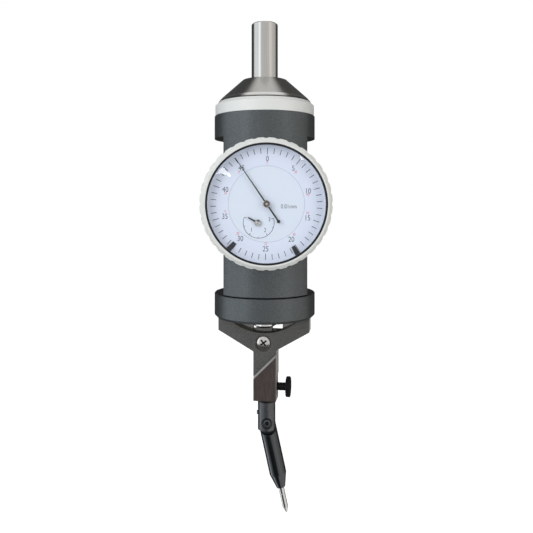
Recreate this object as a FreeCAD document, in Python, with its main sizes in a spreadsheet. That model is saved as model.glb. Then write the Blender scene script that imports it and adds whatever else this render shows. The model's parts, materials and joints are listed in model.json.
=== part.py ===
import FreeCAD, Part
import Sketcher
import math
import os
import re
from FreeCAD import Placement, Rotation, Vector

# A coaxial centering indicator: a straight shank and a spindle that turn with the machine, a housing
# that stands still around them with a dial on its front, and a yoke below that carries a jointed feeler.
# Millimetres. +Z points up the shank, +X to the right and -Y to the front, where the dial is.
# The origin is on the spindle's axis, at the shoulder where the shank meets the head.

DRIVING_SIZES = {
    # Shank, head and spindle
    "shank_radius": 5.0,
    "shank_length": 21.6,
    "shank_edge": 0.35,
    "head_neck_radius": 8.5,
    "head_cone_radius": 16.3,
    "head_cone_drop": 7.0,
    "head_band_radius": 17.1,
    "head_band_drop": 7.9,
    "head_rim_radius": 17.4,
    "head_drop": 8.25,
    "head_boss_radius": 5.7,
    "spindle_radius": 4.5,
    "spindle_seat_depth": 7.0,
    "spindle_end_radius": 2.8,
    "spindle_end_taper": 1.0,
    "spindle_end_drop": 4.4,
    "tongue_half_width": 3.0,
    "tongue_half_thickness": 1.5,
    # Bearings
    "bearing_radius": 8.5,
    "bearing_width": 5.0,
    "inner_race_radius": 5.8,
    "outer_race_radius": 7.2,
    "ball_radius": 0.95,
    "ball_play": 0.03,
    "ball_count": 11,
    "circlip_depth": 0.4,
    "circlip_radius": 6.0,
    "circlip_thickness": 1.0,
    "circlip_gap": 3.0,
    "spacer_radius": 5.6,
    # Housing
    "turn_gap": 0.3,
    "cap_step": 0.3,
    "cap_height": 5.1,
    "cap_slope": 1.3,
    "cap_lip_radius": 6.9,
    "body_radius": 19.0,
    "body_height": 66.15,
    "body_edge": 0.25,
    "body_bore": 7.4,
    "flange_height": 8.6,
    "flat_depth": 3.8,
    "joint_line": 0.3,
    "spigot_shoulder": 4.5,
    "screw_radius": 1.25,
    "screw_head_radius": 2.3,
    "screw_head_drop": 1.2,
    "screw_grip": 6.0,
    "cap_screw_circle": 12.5,
    "skirt_screw_circle": 11.5,
    "stop_hole_radius": 2.5,
    "stop_hole_depth": 9.0,
    "stop_hole_drop": 55.15,
    # Skirt under the housing
    "skirt_height": 9.05,
    "skirt_wall": 1.85,
    "skirt_side": 1.4,
    "skirt_edge": 1.0,
    "skirt_hole": 6.8,
    # Lift mechanism
    "lift_travel": 3.0,
    "lift_plate_play": 0.6,
    "lift_plate_bore": 6.5,
    "lift_plate_thickness": 1.4,
    "wear_ring_step": 0.2,
    "wear_ring_width": 3.8,
    "wear_ring_thickness": 1.0,
    "ear_gap": 0.12,
    "guide_radius": 1.5,
    "guide_length": 16.0,
    "guide_edge": 3.55,
    "guide_angle": 42.0,
    "guide_play": 0.08,
    "spring_length": 12.0,
    "spring_radius": 1.1,
    "spring_wire": 0.22,
    "spring_turns": 12,
    "rack_width": 2.0,
    "rack_cover": 0.5,
    "rack_depth": 1.8,
    "rack_end_play": 0.1,
    "rack_play": 0.25,
    "rack_teeth": 12,
    # Dial case and movement
    "dial_drop": 46.65,
    "case_recess_depth": 6.0,
    "case_floor": 1.2,
    "case_radius": 19.9,
    "case_wall": 1.7,
    "case_proud": 4.6,
    "case_play": 0.3,
    "case_screw_edge": 4.4,
    "small_screw_radius": 1.0,
    "small_head_radius": 1.9,
    "small_head_drop": 1.0,
    "small_screw_grip": 4.0,
    "plate_play": 1.7,
    "plate_thickness": 0.8,
    "plate_gap": 4.2,
    "pillar_radius": 1.4,
    "pillar_edge": 1.5,
    "pillar_first_angle": 50.0,
    "plate_screw_radius": 0.6,
    "plate_screw_head": 1.1,
    "plate_screw_drop": 0.7,
    "arbor_radius": 0.4,
    "arbor_play": 0.04,
    "arbor_end_play": 0.1,
    "centre_teeth": 10,
    "drive_teeth": 120,
    "counter_teeth": 100,
    "rack_pinion_teeth": 12,
    "pointer_turns": 6,
    "drive_angle": -40.0,
    "counter_across": -2.93,
    "counter_down": -6.37,
    "wheel_thickness": 0.5,
    "drive_wheel_gap": 0.5,
    "counter_wheel_gap": 0.9,
    "pinion_end_play": 0.6,
    # Dial faces, pointers and bezel
    "dial_gap": 0.3,
    "dial_thickness": 0.4,
    "inner_dial_radius": 12.93,
    "dial_line": 0.12,
    "dial_foot_radius": 0.5,
    "dial_foot_circle": 9.0,
    "dial_hole": 0.7,
    "hand_gap": 0.4,
    "hand_hub_proud": 0.2,
    "hand_hub_gap": 0.2,
    "hand_hub_radius": 1.1,
    "hand_length": 3.8,
    "hand_width": 0.4,
    "hand_clock": 298.0,
    "pointer_gap": 0.3,
    "pointer_hub_height": 0.5,
    "pointer_hub_radius": 1.25,
    "pointer_eye_radius": 0.9,
    "pointer_thickness": 0.2,
    "pointer_end_gap": 1.35,
    "pointer_tail": 7.2,
    "pointer_blob": 0.6,
    "pointer_root_width": 0.55,
    "pointer_tip_width": 0.2,
    "pointer_clock": -34.3,
    "bezel_gap": 0.7,
    "bezel_play": 0.25,
    "bezel_wall": 1.35,
    "bezel_rim_wall": 0.9,
    "bezel_rim_height": 0.3,
    "bezel_edge": 0.4,
    "grip_proud": 1.5,
    "grip_width": 2.8,
    "grip_edge": 0.5,
    "grip_neck": 0.4,
    "scallop_count": 36,
    "scallop_radius": 1.7,
    "scallop_depth": 0.3,
    "crystal_gap": 0.2,
    "crystal_thickness": 0.9,
    "gasket_width": 0.6,
    "gasket_foot": 0.4,
    "gasket_lip": 0.1,
    "wire_groove_depth": 0.5,
    "wire_proud": 0.45,
    "wire_rise": 0.8,
    "wire_width": 0.6,
    "wire_play": 0.08,
    "marker_length": 3.2,
    "marker_outer_width": 1.8,
    "marker_inner_width": 1.2,
    "marker_thickness": 0.5,
    "marker_play": 0.1,
    "left_marker_clock": 219.7,
    "right_marker_clock": 148.0,
    # Yoke, seen from the front
    "spindle_turn": -10.15,
    "pivot_drop": 9.9,
    "yoke_shoulder_step": 1.65,
    "yoke_half_thickness": 3.5,
    "yoke_corner_rise": 4.5,
    "yoke_shoulder_gap": 0.4,
    "ear_side_play": 1.2,
    "ear_width": 2.4,
    "ear_rise": 11.4,
    "saddle_radius": 20.0,
    "saddle_rise": 3.8,
    "throat_sink": 0.3,
    "notch_play": 0.2,
    "notch_swing": 2.0,
    "notch_rise": 4.35,
    "slot_play": 0.1,
    "slot_half_width": 4.4,
    "slot_end_play": 0.25,
    "yoke_slope_ratio": 0.575,
    "stem_left": 3.8,
    "stem_right": 4.9,
    "pivot_radius": 1.25,
    "pivot_play": 0.05,
    "pivot_head_radius": 2.5,
    "pivot_head_height": 0.8,
    "pivot_sink_radius": 3.1,
    "pivot_sink_depth": 1.0,
    # Feeler holder, thumb screw and jointed feeler
    "holder_left": 3.6,
    "holder_front": 4.7,
    "holder_back": 2.0,
    "holder_top_drop": 3.9,
    "holder_low_drop": 21.4,
    "holder_bevel": 0.7,
    "holder_round": 2.0,
    "holder_bore": 2.4,
    "holder_bore_depth": 8.0,
    "holder_screw_radius": 0.9,
    "holder_screw_head": 1.6,
    "holder_screw_length": 4.5,
    "holder_screw_side": 2.2,
    "holder_screw_drop": 3.7,
    "holder_screw_shift": 1.0,
    "holder_screw_pitch": 3.0,
    "thumb_rise": 4.9,
    "thumb_radius": 1.45,
    "thumb_hole_play": 0.05,
    "thumb_tip_play": 0.05,
    "thumb_neck_end": 8.4,
    "thumb_head_length": 1.6,
    "thumb_head_radius": 3.8,
    "thumb_edge": 0.4,
    "feeler_shift": 0.95,
    "feeler_forward": 1.35,
    "sleeve_turn": 0.5,
    "sleeve_radius": 3.3,
    "sleeve_gap": 0.2,
    "sleeve_stem_play": 0.05,
    "sleeve_stem_length": 7.4,
    "knuckle_drop": 8.4,
    "cheek_drop": 2.9,
    "cheek_face": 0.15,
    "lap_play": 0.05,
    "lap_rise": 3.4,
    "knuckle_sweep": 4.55,
    "knuckle_radius": 1.0,
    "knuckle_play": 0.05,
    "knuckle_head_radius": 1.6,
    "knuckle_head_height": 0.8,
    "knuckle_sink_radius": 2.1,
    "knuckle_sink_face": 2.2,
    "knuckle_reach": 2.6,
    "sleeve_pin_radius": 0.75,
    "sleeve_pin_rise": 3.35,
    "sleeve_pin_proud": 0.4,
    "sleeve_pin_depth": 1.0,
    "feeler_tilt": 12.3,
    "rod_radius": 3.2,
    "rod_straight": 20.1,
    "rod_length": 25.45,
    "rod_end_radius": 1.7,
    "tip_radius": 1.07,
    "tip_seat": 5.0,
    "tip_length": 35.5,
    "tip_cone_length": 2.3,
    "tip_point_radius": 0.25,
    "tip_groove_at": 27.9,
    "tip_groove_width": 0.3,
    "tip_groove_depth": 0.15,
}

WORKED_OUT_PLACES = {
    "head_low": "-head_drop",
    "cap_top": "head_low - turn_gap",
    "cap_low": "cap_top - cap_height",
    "upper_bearing_top": "cap_low + bearing_width",
    "flange_low": "cap_low - flange_height",
    "body_low": "cap_low - body_height",
    "skirt_top": "body_low - joint_line",
    "lower_bearing_top": "skirt_top + bearing_width",
    "skirt_ceiling": "skirt_top - skirt_wall",
    "skirt_low": "skirt_top - skirt_height",
    "circlip_low": "skirt_top - circlip_thickness",
    "spindle_end": "skirt_low - spindle_end_drop",
    "pivot_height": "skirt_low - pivot_drop",
    "cap_radius": "body_radius - cap_step",
    "spigot_radius": "body_radius - spigot_shoulder",
    "flat_offset": "body_radius - flat_depth",
    "skirt_bore": "body_radius - skirt_side",
    "lift_plate_radius": "skirt_bore - lift_plate_play",
    "wear_ring_radius": "lift_plate_radius - wear_ring_step",
    "wear_ring_bore": "wear_ring_radius - wear_ring_width",
    "ear_outer": "wear_ring_radius - ear_side_play",
    "ear_inner": "ear_outer - ear_width",
    "yoke_half_width": "ear_outer + yoke_shoulder_step",
    "guide_circle": "lift_plate_radius - guide_edge",
    "guide_side": "guide_circle * cos(guide_angle * 1deg)",
    "guide_back": "guide_circle * sin(guide_angle * 1deg)",
    "ear_top": "pivot_height + ear_rise",
    "wear_low": "ear_top + ear_gap",
    "wear_top": "wear_low + wear_ring_thickness",
    "lift_top": "wear_top + lift_plate_thickness",
    "guide_top": "lift_top + guide_length",
    "spring_top": "guide_top + spring_length",
    "ball_circle": "(inner_race_radius + outer_race_radius) / 2",
    "race_groove": "ball_radius + ball_play",
    "circlip_bore": "spindle_radius - circlip_depth",
    "dial_height": "-dial_drop",
    "case_back": "body_radius - case_recess_depth",
    "case_inside": "case_back + case_floor",
    "back_plate_front": "case_inside + plate_thickness",
    "front_plate_back": "back_plate_front + plate_gap",
    "front_plate_front": "front_plate_back + plate_thickness",
    "drive_wheel_back": "back_plate_front + drive_wheel_gap",
    "drive_wheel_front": "drive_wheel_back + wheel_thickness",
    "counter_wheel_back": "drive_wheel_front + counter_wheel_gap",
    "counter_wheel_front": "counter_wheel_back + wheel_thickness",
    "pinion_front": "front_plate_back - pinion_end_play",
    "case_bore": "case_radius - case_wall",
    "case_screw_circle": "case_bore - case_screw_edge",
    "plate_radius": "case_bore - plate_play",
    "pillar_circle": "plate_radius - pillar_edge",
    "bezel_back": "body_radius + bezel_gap",
    "case_front": "bezel_back + case_proud",
    "dial_back": "case_front + dial_gap",
    "dial_front": "dial_back + dial_thickness",
    "hand_back": "dial_front + hand_gap",
    "hand_front": "hand_back + pointer_thickness",
    "hand_hub_front": "hand_front + hand_hub_proud",
    "pointer_back": "hand_hub_front + pointer_gap",
    "pointer_front": "pointer_back + pointer_thickness",
    "pointer_hub_front": "pointer_front + pointer_hub_height",
    "crystal_back": "pointer_hub_front + crystal_gap",
    "crystal_front": "crystal_back + crystal_thickness",
    "gasket_back": "crystal_back - gasket_foot",
    "gasket_front": "crystal_front + gasket_lip",
    "bezel_front": "gasket_front + bezel_rim_height",
    "bezel_bore": "case_radius + bezel_play",
    "bezel_radius": "bezel_bore + bezel_wall",
    "bezel_rim_bore": "bezel_radius - bezel_rim_wall",
    "crystal_radius": "bezel_rim_bore - gasket_width",
    "grip_radius": "bezel_radius + grip_proud",
    "grip_front": "bezel_back + grip_width",
    "wire_back": "bezel_back + wire_rise",
    "wire_front": "wire_back + wire_width",
    "wire_groove_radius": "case_radius - wire_groove_depth",
    "wire_outer_radius": "case_radius + wire_proud",
    "pointer_length": "bezel_bore - pointer_end_gap",
    "scale_bore": "inner_dial_radius + dial_line",
    "counter_reach": "sqrt(counter_across * counter_across + counter_down * counter_down)",
    "wheel_module": "2 * counter_reach / (centre_teeth + counter_teeth)",
    "drive_reach": "wheel_module * (centre_teeth + drive_teeth) / 2",
    "drive_across": "drive_reach * cos(drive_angle * 1deg)",
    "drive_up": "drive_reach * sin(drive_angle * 1deg)",
    "pinion_turns": "pointer_turns * centre_teeth / drive_teeth",
    "rack_front": "case_back - rack_cover",
    "rack_back": "rack_front - rack_depth",
    "rack_pitch": "lift_travel / pinion_turns / rack_pinion_teeth",
    "rack_module": "rack_pitch / pi",
    "rack_pinion_radius": "rack_module * rack_pinion_teeth / 2",
    "rack_line": "drive_across + rack_pinion_radius",
    "rack_tips": "rack_line - 0.9 * rack_module",
    "rack_roots": "rack_line + 1.2 * rack_module",
    "rack_edge": "rack_roots + rack_width",
    "drive_height": "dial_height + drive_up",
    "rack_low_tooth": "drive_height - lift_travel - 3 * rack_pitch",
    "rack_top": "rack_low_tooth + rack_teeth * rack_pitch",
    "rack_pinion_back": "rack_back + rack_end_play",
    "rack_pinion_front": "rack_front - rack_end_play",
    "pivot_sink_face": "-yoke_half_thickness + pivot_sink_depth",
    "yoke_shoulder": "skirt_low - yoke_shoulder_gap",
    "yoke_corner": "pivot_height + yoke_corner_rise",
    "stem_top_left": "yoke_corner - yoke_slope_ratio * (yoke_half_width - stem_left)",
    "stem_top_right": "yoke_corner - yoke_slope_ratio * (yoke_half_width - stem_right)",
    "saddle_height": "pivot_height + saddle_rise + saddle_radius",
    "notch_left": "spindle_radius + notch_play",
    "notch_right": "notch_left + notch_swing",
    "notch_floor": "pivot_height + notch_rise",
    "slot_half_thickness": "tongue_half_thickness + slot_play",
    "holder_top_right": "pivot_height - holder_top_drop",
    "holder_top_left": "holder_top_right - stem_right - holder_left",
    "stem_low": "holder_top_left",
    "holder_low": "pivot_height - holder_low_drop",
    "thumb_height": "holder_low + thumb_rise",
    "sleeve_top": "holder_low - sleeve_gap",
    "sleeve_stem_radius": "holder_bore - sleeve_stem_play",
    "knuckle_height": "holder_low - knuckle_drop",
    "thumb_tip": "feeler_shift + sleeve_stem_radius + thumb_tip_play",
}

doc = FreeCAD.newDocument("centering_indicator")
sheet = doc.addObject("Spreadsheet::Sheet", "Sizes")
for row, (alias, number) in enumerate(DRIVING_SIZES.items(), start=1):
    sheet.set(f"A{row}", alias.replace("_", " "))
    sheet.set(f"B{row}", str(number))
    sheet.setAlias(f"B{row}", alias)
doc.recompute()
places = doc.addObject("App::VarSet", "Places")


def formula(text):
    """The text with each size and place named in full, as an expression needs it."""

    def full_name(found):
        word = found.group(0)
        if word in DRIVING_SIZES:
            return "Sizes." + word
        if word in WORKED_OUT_PLACES:
            return "Places." + word
        return word

    return re.sub(r"[a-z_]+", full_name, text)


for place_name, place_formula in WORKED_OUT_PLACES.items():
    places.addProperty("App::PropertyFloat", place_name)
    places.setExpression(place_name, formula(place_formula))
doc.recompute()

sub_parts = []


def number(text):
    """The value of one size or place."""
    return getattr(sheet if text in DRIVING_SIZES else places, text)


def bind(thing, **formulas):
    """Ties properties to sizes. A double underscore stands for a dot in a property's name."""
    for path, text in formulas.items():
        thing.setExpression(path.replace("__", "."), formula(text))
    return thing


def origin_plane(body, role):
    for feature in body.Origin.OriginFeatures:
        if feature.Role == role:
            return feature
    raise ValueError(role)


def outline_sketch(body, corners, role, lift="0"):
    """A closed outline of straight edges, each corner held by two dimensions."""
    sketch = body.newObject("Sketcher::SketchObject", body.Name + "_outline")
    sketch.AttachmentSupport = (origin_plane(body, role), [""])
    sketch.MapMode = "FlatFace"
    if lift != "0":
        bind(sketch, AttachmentOffset__Base__z=lift)
    count = len(corners)
    turn = 2 * math.pi / count
    spots = [Vector(math.cos(k * turn), math.sin(k * turn), 0) for k in range(count)]
    for k in range(count):
        sketch.addGeometry(Part.LineSegment(spots[k], spots[(k + 1) % count]), False)
    for k in range(count):
        sketch.addConstraint(Sketcher.Constraint("Coincident", k, 2, (k + 1) % count, 1))
    for k, (across, up) in enumerate(corners):
        for kind, axis, text in (("DistanceX", -2, across), ("DistanceY", -1, up)):
            if text == "0":
                sketch.addConstraint(Sketcher.Constraint("PointOnObject", k, 1, axis))
            else:
                index = sketch.addConstraint(Sketcher.Constraint(kind, -1, 1, k, 1, 1.0))
                sketch.setExpression(f"Constraints[{index}]", formula(text))
    return sketch


def turned(name, corners):
    """A body turned about Z from its half outline, given as radius and height."""
    body = doc.addObject("PartDesign::Body", name)
    sketch = outline_sketch(body, corners, "XZ_Plane")
    turning = body.newObject("PartDesign::Revolution", name + "_turning")
    turning.Profile = sketch
    turning.ReferenceAxis = (sketch, ["V_Axis"])
    turning.Angle = 360
    return body


def plate(name, corners, back, front, upright=True):
    """A body padded from its outline. An upright one faces the front: back and front are its Y places,
    and one that lies flat goes from the height back to the height front."""
    body = doc.addObject("PartDesign::Body", name)
    if upright:
        sketch = outline_sketch(body, corners, "XZ_Plane", f"-({back})")
        thickness = f"({back}) - ({front})"
    else:
        sketch = outline_sketch(body, corners, "XY_Plane", back)
        thickness = f"({front}) - ({back})"
    pad = body.newObject("PartDesign::Pad", name + "_pad")
    pad.Profile = sketch
    bind(pad, Length=thickness)
    return body


def rod(name, radius, low, high, across="0", along="0", axis="Z"):
    """A cylinder from low to high along an axis. The other two places are given in X, Y, Z order."""
    cylinder = doc.addObject("Part::Cylinder", name)
    bind(cylinder, Radius=radius, Height=f"({high}) - ({low})")
    corner = {"X": (low, across, along), "Y": (across, low, along), "Z": (across, along, low)}[axis]
    swing = {
        "X": Rotation(Vector(0, 1, 0), 90),
        "Y": Rotation(Vector(1, 0, 0), -90),
        "Z": Rotation(),
    }[axis]
    cylinder.Placement = Placement(Vector(), swing)
    set_corner(cylinder, corner)
    return cylinder


def taper(name, low_radius, high_radius, low, high, across="0", along="0"):
    """An upright cone between two heights."""
    cone = doc.addObject("Part::Cone", name)
    bind(cone, Radius1=low_radius, Radius2=high_radius, Height=f"({high}) - ({low})")
    set_corner(cone, (across, along, low))
    return cone


def block(name, left, right, front, back, low, high):
    """A box between six planes."""
    box = doc.addObject("Part::Box", name)
    bind(box, Length=f"({right}) - ({left})", Width=f"({back}) - ({front})", Height=f"({high}) - ({low})")
    set_corner(box, (left, front, low))
    return box


def set_corner(thing, corner):
    for letter, text in zip("xyz", corner):
        if text != "0":
            thing.setExpression(f"Placement.Base.{letter}", formula(text))


def joined(name, pieces):
    union = doc.addObject("Part::MultiFuse", name)
    union.Shapes = pieces
    return union


def shared(name, pieces):
    overlap = doc.addObject("Part::MultiCommon", name)
    overlap.Shapes = pieces
    return overlap


def cut(name, base, tools):
    tool = tools[0] if len(tools) == 1 else joined(name + "_tools", tools)
    difference = doc.addObject("Part::Cut", name)
    difference.Base = base
    difference.Tool = tool
    return difference


def grouped(name, pieces):
    """Like pieces in one node, each a solid of its own."""
    group = doc.addObject("Part::Compound", name)
    group.Links = pieces
    return group


def made(name, shape):
    feature = doc.addObject("Part::Feature", name)
    feature.Shape = shape
    return feature


def finished(thing, node):
    """Keeps a sub-part under the name of its node."""
    thing.Label = node
    sub_parts.append(thing)
    return thing


def free(thing):
    """A primitive uses up its own Placement, so it is put in a group that can be turned and moved."""
    if thing.TypeId == "Part::Cylinder":
        return grouped(thing.Name + "_moved", [thing])
    return thing


def on_dial(thing):
    """Stands a piece that was built flat on the dial's axis: its Z becomes the way to the front."""
    thing = free(thing)
    thing.Placement = Placement(Vector(), Rotation(Vector(1, 0, 0), 90))
    return bind(thing, Placement__Base__z="dial_height")


def with_spindle(thing):
    """Turns a piece as the spindle stands at rest."""
    thing.Placement = Placement(Vector(), Rotation(Vector(0, 0, 1), number("spindle_turn")))
    return thing


def around(radius, angle):
    """The two places of a point on a circle, as formulas. The angle is a formula in degrees."""
    return (f"({radius}) * cos(({angle}) * 1deg)", f"({radius}) * sin(({angle}) * 1deg)")


def dressed(body, kind, size_name, size, spot):
    """Breaks the edge whose middle lies nearest the spot, with a Chamfer or a Fillet."""
    doc.recompute()
    base = body.Tip
    gaps = [edge.CenterOfMass.distanceToPoint(spot) for edge in base.Shape.Edges]
    edge_name = f"Edge{gaps.index(min(gaps)) + 1}"
    dress = body.newObject("PartDesign::" + kind, f"{body.Name}_{kind.lower()}")
    dress.Base = (base, [edge_name])
    bind(dress, **{size_name: size})
    body.Tip = dress


def sunk_screw(name, x, y, head_face, way, radius, head_radius, head_drop, grip):
    """A countersunk screw along Z. Its flat head face looks along way, which is -1 or 1."""
    low_face, high_face = f"({head_face})", f"({head_face}) - ({way}) * ({grip})"
    neck = f"({head_face}) - ({way}) * ({head_drop})"
    if way > 0:
        shank = rod(name + "_shank", radius, high_face, neck, x, y)
        head = taper(name + "_head", radius, head_radius, neck, low_face, x, y)
    else:
        shank = rod(name + "_shank", radius, neck, high_face, x, y)
        head = taper(name + "_head", head_radius, radius, low_face, neck, x, y)
    return joined(name, [shank, head])


CASE_SCREW_ANGLES = ("90", "210", "330")
CAP_SCREW_ANGLES = ("90", "210", "330")
SKIRT_SCREW_ANGLES = ("90", "190", "350")
PILLAR_ANGLES = ("pillar_first_angle", "pillar_first_angle + 90", "pillar_first_angle + 180")
GUIDE_SIDES = ("guide_side", "-guide_side")
COUNTER_CENTRE = ("counter_across", "counter_down")
DRIVE_CENTRE = ("drive_across", "drive_up")


def case_screw(name, angle):
    x, y = around("case_screw_circle", angle)
    return sunk_screw(name, x, y, "case_inside", 1, "small_screw_radius", "small_head_radius",
                      "small_head_drop", "case_floor + small_screw_grip")


def cap_screw(name, angle):
    x, y = around("cap_screw_circle", angle)
    return sunk_screw(name, x, y, "cap_top", 1, "screw_radius", "screw_head_radius",
                      "screw_head_drop", "cap_height + screw_grip")


def skirt_screw(name, angle):
    x, y = around("skirt_screw_circle", angle)
    return sunk_screw(name, x, y, "skirt_ceiling", -1, "screw_radius", "screw_head_radius",
                      "screw_head_drop", "skirt_wall + screw_grip")


def screws(name, make, angles):
    return [make(f"{name}_{k}", angle) for k, angle in enumerate(angles)]


def make_spindle():
    """The pieces that turn with the machine's spindle, above the yoke."""
    head = turned("head_turned", [
        ("0", "shank_length"),
        ("shank_radius - shank_edge", "shank_length"),
        ("shank_radius", "shank_length - shank_edge"),
        ("shank_radius", "0"),
        ("head_neck_radius", "0"),
        ("head_cone_radius", "-head_cone_drop"),
        ("head_band_radius", "-head_band_drop"),
        ("head_rim_radius", "head_low"),
        ("head_boss_radius", "head_low"),
        ("head_boss_radius", "upper_bearing_top"),
        ("spindle_radius", "upper_bearing_top"),
        ("spindle_radius", "upper_bearing_top + spindle_seat_depth"),
        ("0", "upper_bearing_top + spindle_seat_depth"),
    ])
    finished(head, "shank_and_head")

    groove_low = "circlip_low"
    shaft = turned("spindle_turned", [
        ("0", "upper_bearing_top + spindle_seat_depth"),
        ("spindle_radius", "upper_bearing_top + spindle_seat_depth"),
        ("spindle_radius", "skirt_top"),
        ("circlip_bore", "skirt_top"),
        ("circlip_bore", groove_low),
        ("spindle_radius", groove_low),
        ("spindle_radius", "spindle_end + spindle_end_taper"),
        ("spindle_end_radius", "spindle_end"),
        ("0", "spindle_end"),
    ])
    tongue = block("tongue", "-tongue_half_width", "tongue_half_width", "-tongue_half_thickness",
                   "tongue_half_thickness", "pivot_height", "spindle_end + spindle_end_taper")
    tongue_end = rod("tongue_end", "tongue_half_width", "-tongue_half_thickness",
                     "tongue_half_thickness", "0", "pivot_height", "Y")
    hole = rod("tongue_hole", "pivot_radius + pivot_play", "-spindle_radius", "spindle_radius",
               "0", "pivot_height", "Y")
    spindle = cut("spindle_cut", joined("spindle_joined", [shaft, tongue, tongue_end]), [hole])
    finished(with_spindle(spindle), "spindle")

    spacer = turned("spacer_turned", [
        ("spindle_radius", "cap_low"),
        ("spacer_radius", "cap_low"),
        ("spacer_radius", "lower_bearing_top"),
        ("spindle_radius", "lower_bearing_top"),
    ])
    finished(spacer, "bearing_spacer")

    ring = turned("circlip_ring", [
        ("circlip_bore", "skirt_top"),
        ("circlip_radius", "skirt_top"),
        ("circlip_radius", "circlip_low"),
        ("circlip_bore", "circlip_low"),
    ])
    opening = block("circlip_opening", "-circlip_gap / 2", "circlip_gap / 2", "0", "circlip_radius + 1",
                    "circlip_low - 1", "skirt_top + 1")
    finished(cut("circlip_cut", ring, [opening]), "spindle_circlip")


def make_bearing(prefix, top):
    """One ball bearing: its two rings and its balls."""
    low = f"{top} - bearing_width"
    middle = f"{top} - bearing_width / 2"
    for node, inner, outer in (
        ("inner_ring", "spindle_radius", "inner_race_radius"),
        ("outer_ring", "outer_race_radius", "bearing_radius"),
    ):
        ring = turned(f"{prefix}_{node}_turned", [(inner, low), (outer, low), (outer, top), (inner, top)])
        groove = doc.addObject("Part::Torus", f"{prefix}_{node}_groove")
        groove.Placement = Placement(Vector(), Rotation(Vector(0, 0, 1), 45))
        bind(groove, Radius1="ball_circle", Radius2="race_groove", Placement__Base__z=middle)
        finished(cut(f"{prefix}_{node}_cut", ring, [groove]), f"{prefix}_{node}")
    balls = []
    count = int(number("ball_count"))
    for k in range(count):
        x, y = around("ball_circle", str(360 * k / count))
        ball = doc.addObject("Part::Sphere", f"{prefix}_ball_{k}")
        bind(ball, Radius="ball_radius")
        set_corner(ball, (x, y, middle))
        balls.append(ball)
    finished(grouped(f"{prefix}_balls_group", balls), f"{prefix}_balls")


def rack_channel(name, low, high):
    """The slot that the rack slides in."""
    return block(name, "rack_tips - rack_play", "rack_edge + rack_play", "-rack_front - rack_play",
                 "-rack_back + rack_play", low, high)


def make_housing():
    """The housing, its light cap ring at the top and the skirt under it."""
    shell = turned("housing_turned", [
        ("body_bore", "cap_low"),
        ("body_radius - body_edge", "cap_low"),
        ("body_radius", "cap_low - body_edge"),
        ("body_radius", "body_low + body_edge"),
        ("body_radius - body_edge", "body_low"),
        ("spigot_radius", "body_low"),
        ("spigot_radius", "skirt_top"),
        ("bearing_radius", "skirt_top"),
        ("bearing_radius", "lower_bearing_top"),
        ("body_bore", "lower_bearing_top"),
    ])
    far = "2 * body_radius"
    tools = [
        block("right_flat", "flat_offset", far, f"-{far}", far, "body_low - 1", "flange_low"),
        block("left_flat", f"-{far}", "-flat_offset", f"-{far}", far, "body_low - 1", "flange_low"),
        on_dial(rod("case_recess", "case_radius + case_play", "case_back", "body_radius + 1")),
        on_dial(rod("pinion_pocket", "rack_pinion_radius + 2 * rack_module + case_play",
                    "rack_back - rack_play", "case_back + 1", *DRIVE_CENTRE)),
        rack_channel("housing_channel", "skirt_top - 1", "rack_top + lift_travel + case_play"),
        rod("stop_hole", "stop_hole_radius", "body_radius - stop_hole_depth", "body_radius + 1",
            "0", "-stop_hole_drop", "Y"),
    ]
    for k, side in enumerate(GUIDE_SIDES):
        tools.append(rod(f"guide_bore_{k}", "guide_radius + guide_play", "skirt_top - 1", "spring_top",
                         side, "guide_back"))
    tools += screws("cap_screw_hole", cap_screw, CAP_SCREW_ANGLES)
    tools += screws("skirt_screw_hole", skirt_screw, SKIRT_SCREW_ANGLES)
    tools += [on_dial(tool) for tool in screws("case_screw_hole", case_screw, CASE_SCREW_ANGLES)]
    finished(cut("housing_cut", shell, tools), "housing")

    ring = turned("cap_turned", [
        ("cap_lip_radius", "cap_top"),
        ("cap_radius - cap_slope", "cap_top"),
        ("cap_radius", "cap_top - cap_slope"),
        ("cap_radius", "cap_low"),
        ("bearing_radius", "cap_low"),
        ("bearing_radius", "upper_bearing_top"),
        ("cap_lip_radius", "upper_bearing_top"),
    ])
    finished(cut("cap_cut", ring, screws("cap_hole", cap_screw, CAP_SCREW_ANGLES)), "cap_ring")
    finished(grouped("cap_screw_group", screws("cap_screw", cap_screw, CAP_SCREW_ANGLES)), "cap_screws")

    skirt = turned("skirt_turned", [
        ("skirt_hole", "skirt_top"),
        ("body_radius - body_edge", "skirt_top"),
        ("body_radius", "skirt_top - body_edge"),
        ("body_radius", "skirt_low + skirt_edge"),
        ("body_radius - skirt_edge", "skirt_low"),
        ("skirt_bore", "skirt_low"),
        ("skirt_bore", "skirt_ceiling"),
        ("skirt_hole", "skirt_ceiling"),
    ])
    skirt_tools = [rack_channel("skirt_channel", "skirt_ceiling - 1", "skirt_top + 1")]
    for k, side in enumerate(GUIDE_SIDES):
        skirt_tools.append(rod(f"skirt_guide_{k}", "guide_radius + guide_play", "skirt_ceiling - 1",
                               "skirt_top + 1", side, "guide_back"))
    skirt_tools += screws("skirt_hole_for_screw", skirt_screw, SKIRT_SCREW_ANGLES)
    finished(cut("skirt_cut", skirt, skirt_tools), "skirt")
    finished(grouped("skirt_screw_group", screws("skirt_screw", skirt_screw, SKIRT_SCREW_ANGLES)),
             "skirt_screws")


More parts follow.
